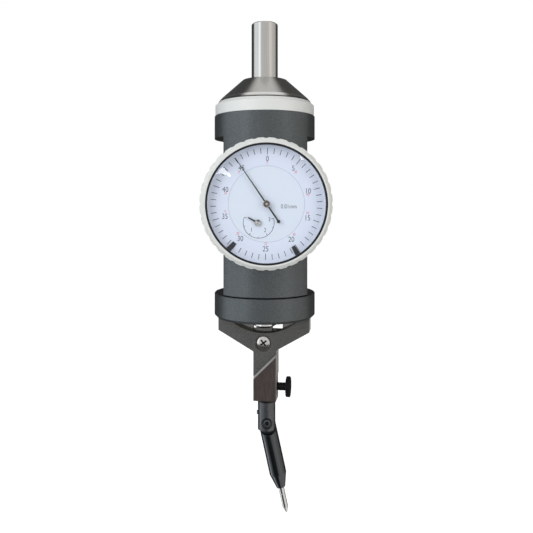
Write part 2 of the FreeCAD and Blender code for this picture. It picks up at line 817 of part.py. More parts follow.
def toothed_wheel(teeth, module, back, front, centre, first_tooth, bore=0.0):
    """A spur wheel about Z. first_tooth is the angle of the middle of one tooth, in degrees."""
    radius = module * teeth / 2
    pitch = 2 * math.pi / teeth
    corners = []
    for k in range(teeth):
        middle = math.radians(first_tooth) + k * pitch
        for reach, share in ((-1.2, -0.27), (0.9, -0.11), (0.9, 0.11), (-1.2, 0.27)):
            angle = middle + share * pitch
            out = radius + reach * module
            corners.append(Vector(centre[0] + out * math.cos(angle), centre[1] + out * math.sin(angle), back))
    wheel = Part.Face(Part.makePolygon(corners + corners[:1])).extrude(Vector(0, 0, front - back))
    if bore:
        wheel = wheel.cut(Part.makeCylinder(bore, front - back, Vector(*centre, back)))
    return wheel


def make_lift():
    """The plate that the yoke's ears lift, with its wear ring, two guide rods and the rack."""
    plate_ring = turned("lift_plate_turned", [
        ("lift_plate_bore", "wear_top"),
        ("lift_plate_radius", "wear_top"),
        ("lift_plate_radius", "lift_top"),
        ("lift_plate_bore", "lift_top"),
    ])
    finished(plate_ring, "lift_plate")
    wear = turned("wear_ring_turned", [
        ("wear_ring_bore", "wear_low"),
        ("wear_ring_radius", "wear_low"),
        ("wear_ring_radius", "wear_top"),
        ("wear_ring_bore", "wear_top"),
    ])
    finished(wear, "wear_ring")
    guides = [rod(f"guide_rod_{k}", "guide_radius", "lift_top", "guide_top", side, "guide_back")
              for k, side in enumerate(GUIDE_SIDES)]
    finished(grouped("guide_rods_group", guides), "guide_rods")

    springs = []
    for side in (1, -1):
        wire = number("spring_wire")
        length = number("spring_length") - 2 * wire
        radius = number("spring_radius")
        coil = Part.makeHelix(length / number("spring_turns"), length, radius)
        start = Part.makeCircle(wire, Vector(radius, 0, 0), Vector(0, 1, 0))
        spring = Part.Wire(coil).makePipeShell([Part.Wire(start)], True, True)
        spring.translate(Vector(side * number("guide_side"), number("guide_back"),
                                number("guide_top") + wire))
        springs.append(spring)
    finished(made("springs_made", Part.makeCompound(springs)), "return_springs")

    pitch = number("rack_pitch")
    tips, roots = number("rack_tips"), number("rack_roots")
    low_tooth = number("rack_low_tooth")
    corners = [Vector(number("rack_edge"), -number("rack_back"), number("lift_top")),
               Vector(roots, -number("rack_back"), number("lift_top"))]
    for k in range(int(number("rack_teeth"))):
        middle = low_tooth + (k + 0.5) * pitch
        for x, share in ((roots, -0.27), (tips, -0.11), (tips, 0.11), (roots, 0.27)):
            corners.append(Vector(x, -number("rack_back"), middle + share * pitch))
    corners += [Vector(roots, -number("rack_back"), number("rack_top")),
                Vector(number("rack_edge"), -number("rack_back"), number("rack_top"))]
    depth = number("rack_front") - number("rack_back")
    rack = Part.Face(Part.makePolygon(corners + corners[:1])).extrude(Vector(0, -depth, 0))
    finished(made("rack_made", rack), "rack")


def arbor(name, low, high, centre):
    return rod(name, "arbor_radius", low, high, *centre)


def make_movement():
    """The dial case on the housing's front, with the two plates and the wheels between them."""
    case = turned("case_turned", [
        ("0", "case_back"),
        ("case_radius", "case_back"),
        ("case_radius", "wire_back"),
        ("wire_groove_radius", "wire_back"),
        ("wire_groove_radius", "wire_front"),
        ("case_radius", "wire_front"),
        ("case_radius", "case_front"),
        ("case_bore", "case_front"),
        ("case_bore", "case_inside"),
        ("0", "case_inside"),
    ])
    tools = [rod("case_arbor_hole", "arbor_radius + case_play", "case_back - 1", "case_inside + 1",
                 *DRIVE_CENTRE)]
    tools += screws("case_hole", case_screw, CASE_SCREW_ANGLES)
    finished(on_dial(cut("case_cut", case, tools)), "dial_case")
    finished(on_dial(grouped("case_screw_group", screws("case_screw", case_screw, CASE_SCREW_ANGLES))),
             "case_screws")

    centres = (("0", "0"), DRIVE_CENTRE, COUNTER_CENTRE)
    for node, back, front in (
        ("back_plate", "case_inside", "back_plate_front"),
        ("front_plate", "front_plate_back", "front_plate_front"),
    ):
        disc = rod(node + "_disc", "plate_radius", back, front)
        holes = [rod(f"{node}_hole_{k}", "arbor_radius + arbor_play", f"{back} - 1", f"{front} + 1", *centre)
                 for k, centre in enumerate(centres)]
        if node == "front_plate":
            for k, angle in enumerate(PILLAR_ANGLES):
                x, y = around("pillar_circle", angle)
                holes.append(rod(f"pillar_screw_hole_{k}", "plate_screw_radius", f"{back} - 1",
                                 f"{front} + 1", x, y))
        finished(on_dial(cut(node + "_cut", disc, holes)), node)

    pillars, plate_screws = [], []
    for k, angle in enumerate(PILLAR_ANGLES):
        x, y = around("pillar_circle", angle)
        post = rod(f"pillar_post_{k}", "pillar_radius", "back_plate_front", "front_plate_back", x, y)
        bore = rod(f"pillar_bore_{k}", "plate_screw_radius", "front_plate_back - plate_gap / 2",
                   "front_plate_back + 1", x, y)
        pillars.append(cut(f"pillar_{k}", post, [bore]))
        shank = rod(f"plate_screw_shank_{k}", "plate_screw_radius", "front_plate_back - plate_gap / 2",
                    "front_plate_front", x, y)
        head = rod(f"plate_screw_head_{k}", "plate_screw_head", "front_plate_front",
                   "front_plate_front + plate_screw_drop", x, y)
        plate_screws.append(joined(f"plate_screw_{k}", [shank, head]))
    finished(on_dial(grouped("pillar_group", pillars)), "plate_pillars")
    finished(on_dial(grouped("plate_screw_group", plate_screws)), "plate_screws")

    module = number("wheel_module")
    centre_teeth = int(number("centre_teeth"))
    drive_teeth = int(number("drive_teeth"))
    counter_teeth = int(number("counter_teeth"))
    drive_way = number("drive_angle")
    counter_way = math.degrees(math.atan2(number("counter_down"), number("counter_across")))
    drive_centre = [number(word) for word in DRIVE_CENTRE]
    counter_centre = [number(word) for word in COUNTER_CENTRE]
    half_drive_pitch = 180.0 / drive_teeth
    half_counter_pitch = 180.0 / counter_teeth

    pinion_back = number("rack_pinion_back")
    pinion = toothed_wheel(int(number("rack_pinion_teeth")), number("rack_module"), pinion_back,
                           number("rack_pinion_front"), drive_centre, 0.0)
    drive_arbor = made("drive_arbor_made", pinion.fuse(Part.makeCylinder(
        number("arbor_radius"), number("front_plate_front") - pinion_back,
        Vector(*drive_centre, pinion_back))).removeSplitter())
    finished(on_dial(drive_arbor), "rack_pinion")
    wheel = toothed_wheel(drive_teeth, module, number("drive_wheel_back"), number("drive_wheel_front"),
                          drive_centre, drive_way + 180.0 + half_drive_pitch, number("arbor_radius"))
    finished(on_dial(made("drive_wheel_made", wheel)), "drive_wheel")

    centre_back = number("back_plate_front") + number("arbor_end_play")
    pinion = toothed_wheel(centre_teeth, module, centre_back, number("pinion_front"), (0.0, 0.0), drive_way)
    centre_arbor = made("centre_arbor_made", pinion.fuse(Part.makeCylinder(
        number("arbor_radius"), number("pointer_hub_front") - number("case_inside"),
        Vector(0, 0, number("case_inside")))).removeSplitter())
    finished(on_dial(centre_arbor), "centre_pinion")

    behind = (drive_way - counter_way) * centre_teeth / counter_teeth
    wheel = toothed_wheel(counter_teeth, module, number("counter_wheel_back"),
                          number("counter_wheel_front"), counter_centre,
                          counter_way + 180.0 - behind + half_counter_pitch, number("arbor_radius"))
    finished(on_dial(made("counter_wheel_made", wheel)), "counter_wheel")
    finished(on_dial(arbor("counter_arbor_rod", "case_inside", "hand_front", COUNTER_CENTRE)),
             "counter_arbor")


def make_dial_faces():
    """The fixed inner dial, the scale ring that turns with the bezel, and the two pointers."""
    disc = rod("inner_disc", "inner_dial_radius", "dial_back", "dial_front")
    feet = []
    for k, angle in enumerate(("20", "160", "270")):
        x, y = around("dial_foot_circle", angle)
        feet.append(rod(f"dial_foot_{k}", "dial_foot_radius", "front_plate_front", "dial_back", x, y))
    holes = [rod(f"dial_hole_{k}", "dial_hole", "dial_back - 1", "dial_front + 1", *centre)
             for k, centre in enumerate((("0", "0"), COUNTER_CENTRE))]
    inner = cut("inner_dial_cut", joined("inner_dial_joined", [disc] + feet), holes)
    finished(on_dial(inner), "inner_dial")

    scale = turned("scale_turned", [
        ("scale_bore", "dial_back"),
        ("bezel_bore", "dial_back"),
        ("bezel_bore", "dial_front"),
        ("scale_bore", "dial_front"),
    ])
    finished(on_dial(scale), "scale_ring")

    outline = [
        ("pointer_root_width / 2", "0"),
        ("pointer_tip_width / 2", "pointer_length"),
        ("-pointer_tip_width / 2", "pointer_length"),
        ("-pointer_root_width / 2", "0"),
        ("-pointer_root_width / 2", "-pointer_tail"),
        ("pointer_root_width / 2", "-pointer_tail"),
    ]
    blade = plate("pointer_blade", outline, "pointer_back", "pointer_front", False)
    blob = rod("pointer_end", "pointer_blob", "pointer_back", "pointer_front", "0", "-pointer_tail")
    eye = rod("pointer_eye", "pointer_eye_radius", "pointer_back", "pointer_front")
    hub = rod("pointer_boss", "pointer_hub_radius", "pointer_front", "pointer_hub_front")
    bore = rod("pointer_bore", "arbor_radius", "hand_hub_front", "pointer_hub_front + 1")
    needle = cut("pointer_cut", joined("pointer_joined", [blade, blob, eye]), [bore])
    finished(turned_on_dial(needle, ("0", "0"), "pointer_clock"), "pointer")
    finished(on_dial(cut("pointer_hub_cut", hub, [bore])), "pointer_hub")

    bar = plate("hand_bar", [
        ("hand_width / 2", "0"),
        ("hand_width / 2", "hand_length"),
        ("-hand_width / 2", "hand_length"),
        ("-hand_width / 2", "0"),
    ], "hand_back", "hand_front", False)
    boss = rod("hand_boss", "hand_hub_radius", "dial_front + hand_hub_gap", "hand_hub_front")
    pocket = rod("hand_bore", "arbor_radius", "dial_front - 1", "hand_front")
    hand = cut("hand_cut", joined("hand_joined", [bar, boss]), [pocket])
    finished(turned_on_dial(hand, COUNTER_CENTRE, "hand_clock"), "counter_hand")


def turned_on_dial(thing, centre, clock_angle):
    """Stands a pointer that was built pointing up on the dial, turned to its clock angle."""
    facing = Rotation(Vector(1, 0, 0), 90)
    turn = Rotation(Vector(0, 0, 1), -number(clock_angle))
    thing.Placement = Placement(Vector(), facing.multiply(turn))
    set_corner(thing, (centre[0], "0", f"dial_height + {centre[1]}"))
    return thing


def make_bezel():
    """The scalloped bezel with its crystal, gasket and two tolerance markers, and its retaining wire."""
    ring = turned("bezel_ring", [
        ("bezel_bore", "bezel_back"),
        ("grip_radius - grip_edge", "bezel_back"),
        ("grip_radius", "bezel_back + grip_edge"),
        ("grip_radius", "grip_front - grip_edge"),
        ("grip_radius - grip_edge", "grip_front"),
        ("bezel_radius", "grip_front + grip_neck"),
        ("bezel_radius", "bezel_front - bezel_edge"),
        ("bezel_radius - bezel_edge", "bezel_front"),
        ("bezel_rim_bore", "bezel_front"),
        ("bezel_rim_bore", "gasket_back"),
        ("bezel_bore", "gasket_back"),
        ("bezel_bore", "wire_front + wire_play"),
        ("wire_outer_radius + wire_play", "wire_front + wire_play"),
        ("wire_outer_radius + wire_play", "wire_back - wire_play"),
        ("bezel_bore", "wire_back - wire_play"),
    ])
    scallop = ring.newObject("Sketcher::SketchObject", "scallop_outline")
    scallop.AttachmentSupport = (origin_plane(ring, "XY_Plane"), [""])
    scallop.MapMode = "FlatFace"
    bind(scallop, AttachmentOffset__Base__z="bezel_back")
    first_centre = Vector(number("grip_radius"), 0, 0)
    first_radius = number("scallop_radius")
    scallop.addGeometry(Part.Circle(first_centre, Vector(0, 0, 1), first_radius), False)
    radius = scallop.addConstraint(Sketcher.Constraint("Radius", 0, first_radius))
    scallop.setExpression(f"Constraints[{radius}]", formula("scallop_radius"))
    scallop.addConstraint(Sketcher.Constraint("PointOnObject", 0, 3, -1))
    reach = scallop.addConstraint(Sketcher.Constraint("DistanceX", -1, 1, 0, 3, first_centre.x))
    scallop.setExpression(f"Constraints[{reach}]", formula("grip_radius - scallop_depth + scallop_radius"))
    notch = ring.newObject("PartDesign::Pocket", "scallop_notch")
    notch.Profile = scallop
    notch.Reversed = True
    bind(notch, Length="grip_front + grip_neck - bezel_back")
    doc.recompute()
    pattern = ring.newObject("PartDesign::PolarPattern", "scallops")
    pattern.Originals = [notch]
    pattern.Axis = (scallop, ["N_Axis"])
    pattern.Angle = 360
    pattern.Occurrences = int(number("scallop_count"))
    ring.Tip = pattern
    finished(on_dial(ring), "bezel")

    finished(on_dial(turned("crystal_disc", [
        ("0", "crystal_back"),
        ("crystal_radius", "crystal_back"),
        ("crystal_radius", "crystal_front"),
        ("0", "crystal_front"),
    ])), "crystal")
    finished(on_dial(turned("gasket_ring", [
        ("crystal_radius", "gasket_back"),
        ("bezel_rim_bore", "gasket_back"),
        ("bezel_rim_bore", "gasket_front"),
        ("crystal_radius", "gasket_front"),
    ])), "crystal_gasket")
    finished(on_dial(turned("wire_ring", [
        ("wire_groove_radius + wire_play", "wire_back + wire_play"),
        ("wire_outer_radius", "wire_back + wire_play"),
        ("wire_outer_radius", "wire_front - wire_play"),
        ("wire_groove_radius + wire_play", "wire_front - wire_play"),
    ])), "bezel_wire")

    markers = []
    for k, angle in enumerate(("left_marker_clock", "right_marker_clock")):
        wedge = plate(f"marker_{k}", [
            ("marker_inner_width / 2", "bezel_bore - marker_length"),
            ("marker_outer_width / 2", "bezel_bore - marker_play"),
            ("-marker_outer_width / 2", "bezel_bore - marker_play"),
            ("-marker_inner_width / 2", "bezel_bore - marker_length"),
        ], "dial_front", "dial_front + marker_thickness", False)
        wedge.Placement = Placement(Vector(), Rotation(Vector(0, 0, 1), -number(angle)))
        markers.append(wedge)
    finished(on_dial(grouped("marker_group", markers)), "tolerance_markers")


def on_feeler(pieces):
    """Stands pieces that were built on the Z axis on the feeler's own axis under the yoke."""
    yaw = number("spindle_turn")
    across = number("feeler_shift")
    back = -number("feeler_forward")
    base = Rotation(Vector(0, 0, 1), yaw).multVec(Vector(across, back, 0))
    for piece in pieces:
        piece.Placement = Placement(base, Rotation(Vector(0, 0, 1), number("sleeve_turn")))
    return pieces


def make_yoke():
    """The forked yoke that swings on the spindle's tongue, and the feeler holder on its stem."""
    blank = plate("yoke_blank", [
        ("-ear_outer", "ear_top"),
        ("ear_outer", "ear_top"),
        ("ear_outer", "yoke_shoulder"),
        ("yoke_half_width", "yoke_shoulder"),
        ("yoke_half_width", "yoke_corner"),
        ("stem_right", "stem_top_right"),
        ("stem_right", "stem_low"),
        ("-stem_left", "stem_low"),
        ("-stem_left", "stem_top_left"),
        ("-yoke_half_width", "yoke_corner"),
        ("-yoke_half_width", "yoke_shoulder"),
        ("-ear_outer", "yoke_shoulder"),
    ], "yoke_half_thickness", "-yoke_half_thickness")
    thick = "yoke_half_thickness + 1"
    saddle = shared("saddle", [
        rod("saddle_round", "saddle_radius", f"-({thick})", "slot_half_thickness",
            "0", "saddle_height", "Y"),
        block("saddle_width", "-ear_inner", "ear_inner", f"-({thick})", "slot_half_thickness",
              "pivot_height", "ear_top + 1"),
    ])
    back_notch = block("back_notch", "-notch_left", "notch_right", "0", thick,
                       "notch_floor", "ear_top + 1")
    throat = block("ear_throat", "-ear_inner", "ear_inner", f"-({thick})", thick,
                   "yoke_shoulder - throat_sink", "ear_top + 1")
    slot = block("slot", "-slot_half_width", "slot_half_width", "-slot_half_thickness",
                 "slot_half_thickness", "pivot_height", "ear_top")
    slot_end = rod("slot_end", "tongue_half_width + slot_end_play", "-slot_half_thickness",
                   "slot_half_thickness", "0", "pivot_height", "Y")
    pivot_hole = rod("pivot_hole", "pivot_radius", f"-({thick})", thick, "0", "pivot_height", "Y")
    sink = rod("pivot_sink", "pivot_sink_radius", f"-({thick})", "pivot_sink_face",
               "0", "pivot_height", "Y")
    far = "yoke_half_width"
    lap = plate("stem_lap", [
        ("stem_right + 1", "holder_top_right + 1"),
        (f"-{far}", f"holder_top_right - stem_right - {far}"),
        (f"{far}", f"holder_top_right - stem_right - {far}"),
        (f"{far}", "holder_top_right + 1"),
    ], "holder_back", f"-({thick})")
    tools = [saddle, back_notch, throat, slot, slot_end, pivot_hole, sink, lap]
    tools += holder_screws("stem_screw")
    finished(with_spindle(cut("yoke_cut", blank, tools)), "yoke")

    shank = rod("pivot_shank", "pivot_radius", "pivot_sink_face", "yoke_half_thickness",
                "0", "pivot_height", "Y")
    head = rod("pivot_head", "pivot_head_radius", "pivot_sink_face - pivot_head_height",
               "pivot_sink_face", "0", "pivot_height", "Y")
    finished(with_spindle(joined("pivot_joined", [shank, head])), "pivot_screw")

    body = plate("holder_blank", [
        ("-holder_left", "holder_top_left"),
        ("stem_right", "holder_top_right"),
        ("stem_right", "holder_low"),
        ("-holder_left", "holder_low"),
    ], "holder_back", "-holder_front")
    left, top_left, low = -number("holder_left"), number("holder_top_left"), number("holder_low")
    slope_middle = Vector((left + number("stem_right")) / 2, -number("holder_front"),
                          (top_left + number("holder_top_right")) / 2)
    dressed(body, "Chamfer", "Size", "holder_bevel", slope_middle)
    back_edge_middle = Vector(left, number("holder_back"), (top_left + low) / 2)
    dressed(body, "Fillet", "Radius", "holder_round", back_edge_middle)
    bore = rod("holder_bore_cut", "holder_bore", "holder_low - 1", "holder_low + holder_bore_depth",
               "feeler_shift", "-feeler_forward")
    thumb_hole = rod("thumb_hole", "thumb_radius + thumb_hole_play", "feeler_shift", "stem_right + 1",
                     "-feeler_forward", "thumb_height", "X")
    holder = cut("holder_cut", body, [bore, thumb_hole] + holder_screws("holder_screw_hole"))
    finished(with_spindle(holder), "feeler_holder")
    finished(with_spindle(grouped("holder_screw_group", holder_screws("holder_screw"))), "holder_screws")

    neck = rod("thumb_neck", "thumb_radius", "thumb_tip", "thumb_neck_end",
               "-feeler_forward", "thumb_height", "X")
    knob = turned("thumb_head", [
        ("0", "0"),
        ("thumb_head_radius - thumb_edge", "0"),
        ("thumb_head_radius", "thumb_edge"),
        ("thumb_head_radius", "thumb_head_length - thumb_edge"),
        ("thumb_head_radius - thumb_edge", "thumb_head_length"),
        ("0", "thumb_head_length"),
    ])
    knob.Placement = Placement(Vector(), Rotation(Vector(0, 1, 0), 90))
    set_corner(knob, ("thumb_neck_end", "-feeler_forward", "thumb_height"))
    finished(with_spindle(joined("thumb_joined", [neck, knob])), "thumb_screw")


def holder_screws(name):
    """The two screws that go through the back of the stem into the holder."""
    screws_made = []
    high = ("stem_right - holder_screw_side", "holder_top_right - holder_screw_drop")
    low = ("feeler_shift - holder_screw_shift",
           "holder_top_right - holder_screw_drop - holder_screw_pitch")
    for k, (across, height) in enumerate((high, low)):
        screw = sunk_screw(f"{name}_{k}", "0", "0", "0", 1, "holder_screw_radius", "holder_screw_head",
                           "holder_screw_head - holder_screw_radius", "holder_screw_length")
        screw.Placement = Placement(Vector(), Rotation(Vector(1, 0, 0), -90))
        set_corner(screw, (across, "yoke_half_thickness", height))
        screws_made.append(screw)
    return screws_made


def make_feeler():
    """The sleeve that plugs into the holder, and the feeler rod on its knuckle."""
    barrel = rod("sleeve_barrel", "sleeve_radius", "knuckle_height - cheek_drop", "sleeve_top")
    stem = rod("sleeve_stem", "sleeve_stem_radius", "sleeve_top", "sleeve_top + sleeve_stem_length")
    lap = block("sleeve_lap", "-2 * sleeve_radius", "2 * sleeve_radius", "-cheek_face",
                "2 * sleeve_radius", "knuckle_height - 2 * sleeve_radius", "knuckle_height + lap_rise")
    hole = rod("sleeve_hole", "knuckle_radius + knuckle_play", "-2 * sleeve_radius", "0",
               "0", "knuckle_height", "Y")
    sink = rod("sleeve_sink", "knuckle_sink_radius", "-2 * sleeve_radius", "-knuckle_sink_face",
               "0", "knuckle_height", "Y")
    pin_height = "knuckle_height + sleeve_pin_rise"
    pin_hole = rod("sleeve_pin_hole", "sleeve_pin_radius", "-2 * sleeve_radius",
                   "-sleeve_radius + sleeve_pin_depth", "0", pin_height, "X")
    pin = rod("sleeve_pin_rod", "sleeve_pin_radius", "-sleeve_radius - sleeve_pin_proud",
              "-sleeve_radius + sleeve_pin_depth", "0", pin_height, "X")
    sleeve = cut("sleeve_cut", joined("sleeve_joined", [barrel, stem]), [lap, hole, sink, pin_hole])
    sleeve, pin = on_feeler([sleeve, free(pin)])
    finished(sleeve, "feeler_sleeve")
    finished(pin, "sleeve_pin")

    straight = turned("rod_turned", [
        ("0", "0"),
        ("rod_radius", "0"),
        ("rod_radius", "-rod_straight"),
        ("rod_end_radius", "-rod_length"),
        ("tip_radius", "-rod_length"),
        ("tip_radius", "-rod_length + tip_seat"),
        ("0", "-rod_length + tip_seat"),
    ])
    top = shared("rod_top", [
        rod("rod_top_bar", "rod_radius", "0", "rod_radius"),
        rod("rod_top_round", "rod_radius", "-rod_radius", "rod_radius", "0", "0", "Y"),
    ])
    lap_front = rod("rod_lap", "knuckle_sweep", "-2 * rod_radius", "-cheek_face + lap_play", "0", "0", "Y")
    thread = rod("rod_thread", "knuckle_radius", "-rod_radius", "knuckle_reach", "0", "0", "Y")
    feeler_rod = cut("rod_cut", joined("rod_joined", [straight, top]), [lap_front, thread])

    tip = turned("tip_turned", [
        ("0", "-rod_length + tip_seat"),
        ("tip_radius", "-rod_length + tip_seat"),
        ("tip_radius", "-tip_groove_at"),
        ("tip_radius - tip_groove_depth", "-tip_groove_at"),
        ("tip_radius - tip_groove_depth", "-tip_groove_at - tip_groove_width"),
        ("tip_radius", "-tip_groove_at - tip_groove_width"),
        ("tip_radius", "-tip_length + tip_cone_length"),
        ("tip_point_radius", "-tip_length"),
        ("0", "-tip_length"),
    ])
    shank = rod("knuckle_shank", "knuckle_radius", "-knuckle_sink_face", "knuckle_reach", "0", "0", "Y")
    head = rod("knuckle_head", "knuckle_head_radius", "-knuckle_sink_face - knuckle_head_height",
               "-knuckle_sink_face", "0", "0", "Y")
    screw = joined("knuckle_joined", [shank, head])
    pieces = on_feeler([feeler_rod, tip, screw])
    tilt = Rotation(Vector(0, 1, 0), -number("feeler_tilt"))
    for piece, node in zip(pieces, ("feeler_rod", "feeler_tip", "knuckle_screw")):
        stand = piece.Placement
        height = Vector(0, 0, number("knuckle_height"))
        piece.Placement = Placement(stand.Base + height, stand.Rotation.multiply(tilt))
        finished(piece, node)


make_spindle()
make_bearing("upper_bearing", "upper_bearing_top")
make_bearing("lower_bearing", "lower_bearing_top")
make_housing()
make_lift()
make_movement()
make_dial_faces()
make_bezel()
make_yoke()
make_feeler()

doc.recompute()
for thing in doc.Objects:
    if "Invalid" in thing.State or "Error" in thing.State:
        raise RuntimeError(f"{thing.Label} didn't build: {thing.State}")
for thing in sub_parts:
    if thing.Shape.isNull() or not thing.Shape.isValid():
        raise RuntimeError(f"{thing.Label} has no valid shape")
os.makedirs("parts", exist_ok=True)
for thing in sub_parts:
    thing.Shape.exportStep(f"parts/{thing.Label}.step")
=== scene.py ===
import json
import math
import bmesh
import bpy
from bpy.props import FloatProperty, FloatVectorProperty, IntProperty, PointerProperty
from mathutils import Matrix, Vector


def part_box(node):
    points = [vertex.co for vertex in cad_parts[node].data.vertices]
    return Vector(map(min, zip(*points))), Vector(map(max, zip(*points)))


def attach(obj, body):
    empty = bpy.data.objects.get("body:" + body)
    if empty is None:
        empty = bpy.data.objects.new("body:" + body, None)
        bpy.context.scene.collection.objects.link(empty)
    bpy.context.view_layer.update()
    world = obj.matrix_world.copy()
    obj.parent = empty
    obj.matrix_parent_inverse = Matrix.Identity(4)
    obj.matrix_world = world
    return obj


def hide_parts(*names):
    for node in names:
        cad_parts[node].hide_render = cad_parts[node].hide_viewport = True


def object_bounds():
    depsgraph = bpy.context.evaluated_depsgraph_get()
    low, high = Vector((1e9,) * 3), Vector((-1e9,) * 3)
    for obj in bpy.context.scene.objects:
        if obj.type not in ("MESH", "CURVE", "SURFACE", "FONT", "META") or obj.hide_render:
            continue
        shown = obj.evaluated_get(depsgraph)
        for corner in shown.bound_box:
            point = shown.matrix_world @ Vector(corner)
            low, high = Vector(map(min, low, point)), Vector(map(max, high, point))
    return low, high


bl_info = {
    "name": "Centering Indicator",
    "version": (1, 0, 0),
    "blender": (4, 5, 0),
    "location": "3D View > Sidebar > Indicator",
    "description": "Prints the dial, dresses the screws and finishes the metal of a centering indicator",
    "category": "Object",
}

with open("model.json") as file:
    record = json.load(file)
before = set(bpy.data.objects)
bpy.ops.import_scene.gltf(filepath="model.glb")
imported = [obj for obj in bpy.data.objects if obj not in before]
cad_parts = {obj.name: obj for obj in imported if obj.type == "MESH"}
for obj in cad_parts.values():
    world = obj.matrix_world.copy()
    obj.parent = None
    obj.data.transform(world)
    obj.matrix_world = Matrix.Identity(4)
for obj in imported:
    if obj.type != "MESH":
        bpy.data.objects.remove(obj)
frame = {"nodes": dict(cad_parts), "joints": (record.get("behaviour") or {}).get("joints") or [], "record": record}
CAD_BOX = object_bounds()
JOINTS = {joint["name"]: joint for joint in frame["joints"]}

MM = 0.001
TO_FRONT = Matrix.Rotation(math.radians(90), 4, "X")
BUMP_DEPTH = 0.02 * MM

# Print on the inner dial, in metres from the dial's or the counter's middle
COUNTER_ARC = (math.radians(-69), math.radians(-287))
COUNTER_NUMBERS = (
    ("1", (-2.5 * MM, -2.45 * MM)), ("2", (2.15 * MM, -2.6 * MM)), ("3", (3.6 * MM, 1.1 * MM)))
VALUE_PLACE = (7.6 * MM, -0.9 * MM)
JOINT_LINE_SUNK = 0.24 * MM
JOINT_LINE_DEPTH = 0.2 * MM

# Stretches of a piece where light or shade is painted into its tint: heights, or distances along the pivot's axis
HEAD_BAND_HIGHLIGHT = (-7.9 * MM, -7.0 * MM)
TONGUE_SHADE = (-110 * MM, -93.1 * MM)
SLEEVE_NECK_SHADE = (-121.25 * MM, -120.4 * MM)
BACK_WALL_PAINTED_LIGHT = (-9 * MM, -1.4 * MM)

# Lamps: place, width and height
AIM = (0, 0, -0.07)
KEY_LAMP = ((-0.50, -0.62, 0.22), 0.45, 0.6)
FILL_LAMP = ((0.55, -0.50, 0.02), 0.35, 0.6)

# Studio: brightness, and the heights of a ray's direction where the table ends and the ceiling starts
CARD_BEHIND_CAMERA = 0.25
CARD_STRENGTH = 12.0
FLOOR_GLOW = 0.56
ROOM_STRENGTH = 2.0
CEILING = (0.33, 0.33, 0.33, 1)
TABLE_ENDS = (-0.36, -0.27)
CEILING_STARTS = (0.84, 0.94)
WARMTH = 0.045

# Shares: a figure's width and height of its type size, a rib's width of its height, the bulge of a
# screw's head against the drop at its rim
FIGURE_WIDTH, FIGURE_HEIGHT = 0.60, 0.70
RIB_WIDTH = 1.15
RIM_DROP = 1.9


def middle_of(node):
    """The middle of a node's box."""
    low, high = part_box(node)
    return (Vector(low) + Vector(high)) / 2


def front_of(node):
    """The Y place of a node's front."""
    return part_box(node)[0][1]


def radius_of(node):
    """Half the width of a round node."""
    low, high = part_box(node)
    return (high[0] - low[0]) / 2


def length(name, millimetres, description):
    return FloatProperty(name=name, description=description, default=millimetres * MM, min=0.0,
                         subtype="DISTANCE", unit="LENGTH", precision=5)


def colour(name, default, description):
    return FloatVectorProperty(name=name, description=description, default=default, min=0.0, max=1.0,
                               size=3, subtype="COLOR")


def angle(name, degrees, description):
    return FloatProperty(name=name, description=description, default=math.radians(degrees),
                         subtype="ANGLE", unit="ROTATION")


def number(name, default, description, **more):
    return FloatProperty(name=name, description=description, default=default, **more)


def count_of(name, default, smallest, description):
    return IntProperty(name=name, description=description, default=default, min=smallest)


class DialPrintSettings(bpy.types.PropertyGroup):
    """Sizes of what is printed on the scale ring and the inner dial."""
    divisions: count_of("Divisions", 50, 10, "Ticks on the scale ring")
    numbered_every: count_of("Numbered Every", 5, 1, "Ticks from one number to the next")
    ring_turn: angle("Ring Turn", 1.1, "How far the scale ring stands turned clockwise")
    tick_outer: length("Tick Outer Radius", 19.0, "Radius of the outer end of every tick")
    tick_inner: length("Tick Inner Radius", 17.15, "Radius of the inner end of a plain tick")
    long_tick_inner: length("Long Tick Inner Radius", 16.85, "Inner end of a numbered tick")
    tick_width: length("Tick Width", 0.2, "Width of a tick")
    ink: length("Ink Thickness", 0.015, "How far the print stands proud of the dial")
    number_edge: length("Number Edge", 16.25, "Radius that the outer corner of a black number reaches")
    number_size: length("Number Size", 2.6, "Type size of the black numbers")
    number_narrow: number("Number Width", 0.82, "Width of the type against its usual width", min=0.3, max=1.5)
    red_size: length("Red Number Size", 1.3, "Type size of the small red numbers")
    red_below: length("Red Below", 1.2, "Drop of the red numbers under the black ones, upper half")
    red_above: length("Red Above", 1.75, "Rise of the red numbers over the black ones, lower half")
    red_aside: length("Red Aside", 0.85, "How far the slanting red numbers stand out to the side")
    counter_radius: length("Counter Radius", 5.25, "Radius of the revolution counter's circle")
    counter_shift: length("Counter Shift", 0.3, "How far the circle is printed to the right of its hand")
    counter_line: length("Counter Line", 0.16, "Width of the counter's lines")
    counter_tick: length("Counter Tick", 0.8, "Length of the counter's ticks")
    counter_size: length("Counter Number Size", 2.0, "Type size of the counter's numbers")
    value_size: length("Value Size", 2.05, "Type size of the graduation value")
    ink_colour: colour("Ink", (0.018, 0.020, 0.030), "Colour of the ticks and the counter's circle")
    pale_ink_colour: colour("Pale Ink", (0.035, 0.038, 0.046), "Colour of the numbers and the value")
    red_colour: colour("Red Ink", (0.75, 0.09, 0.13), "Colour of the small numbers that read backwards")
    joint_width: length("Joint Width", 0.12, "Width of the line between the scale ring and the dial")
    # Painted shade: the grey of the ring that fills the gap between the scale ring and the dial.
    joint_shade_colour: colour("Joint", (0.42, 0.45, 0.52), "The thin line between the scale ring and the dial")


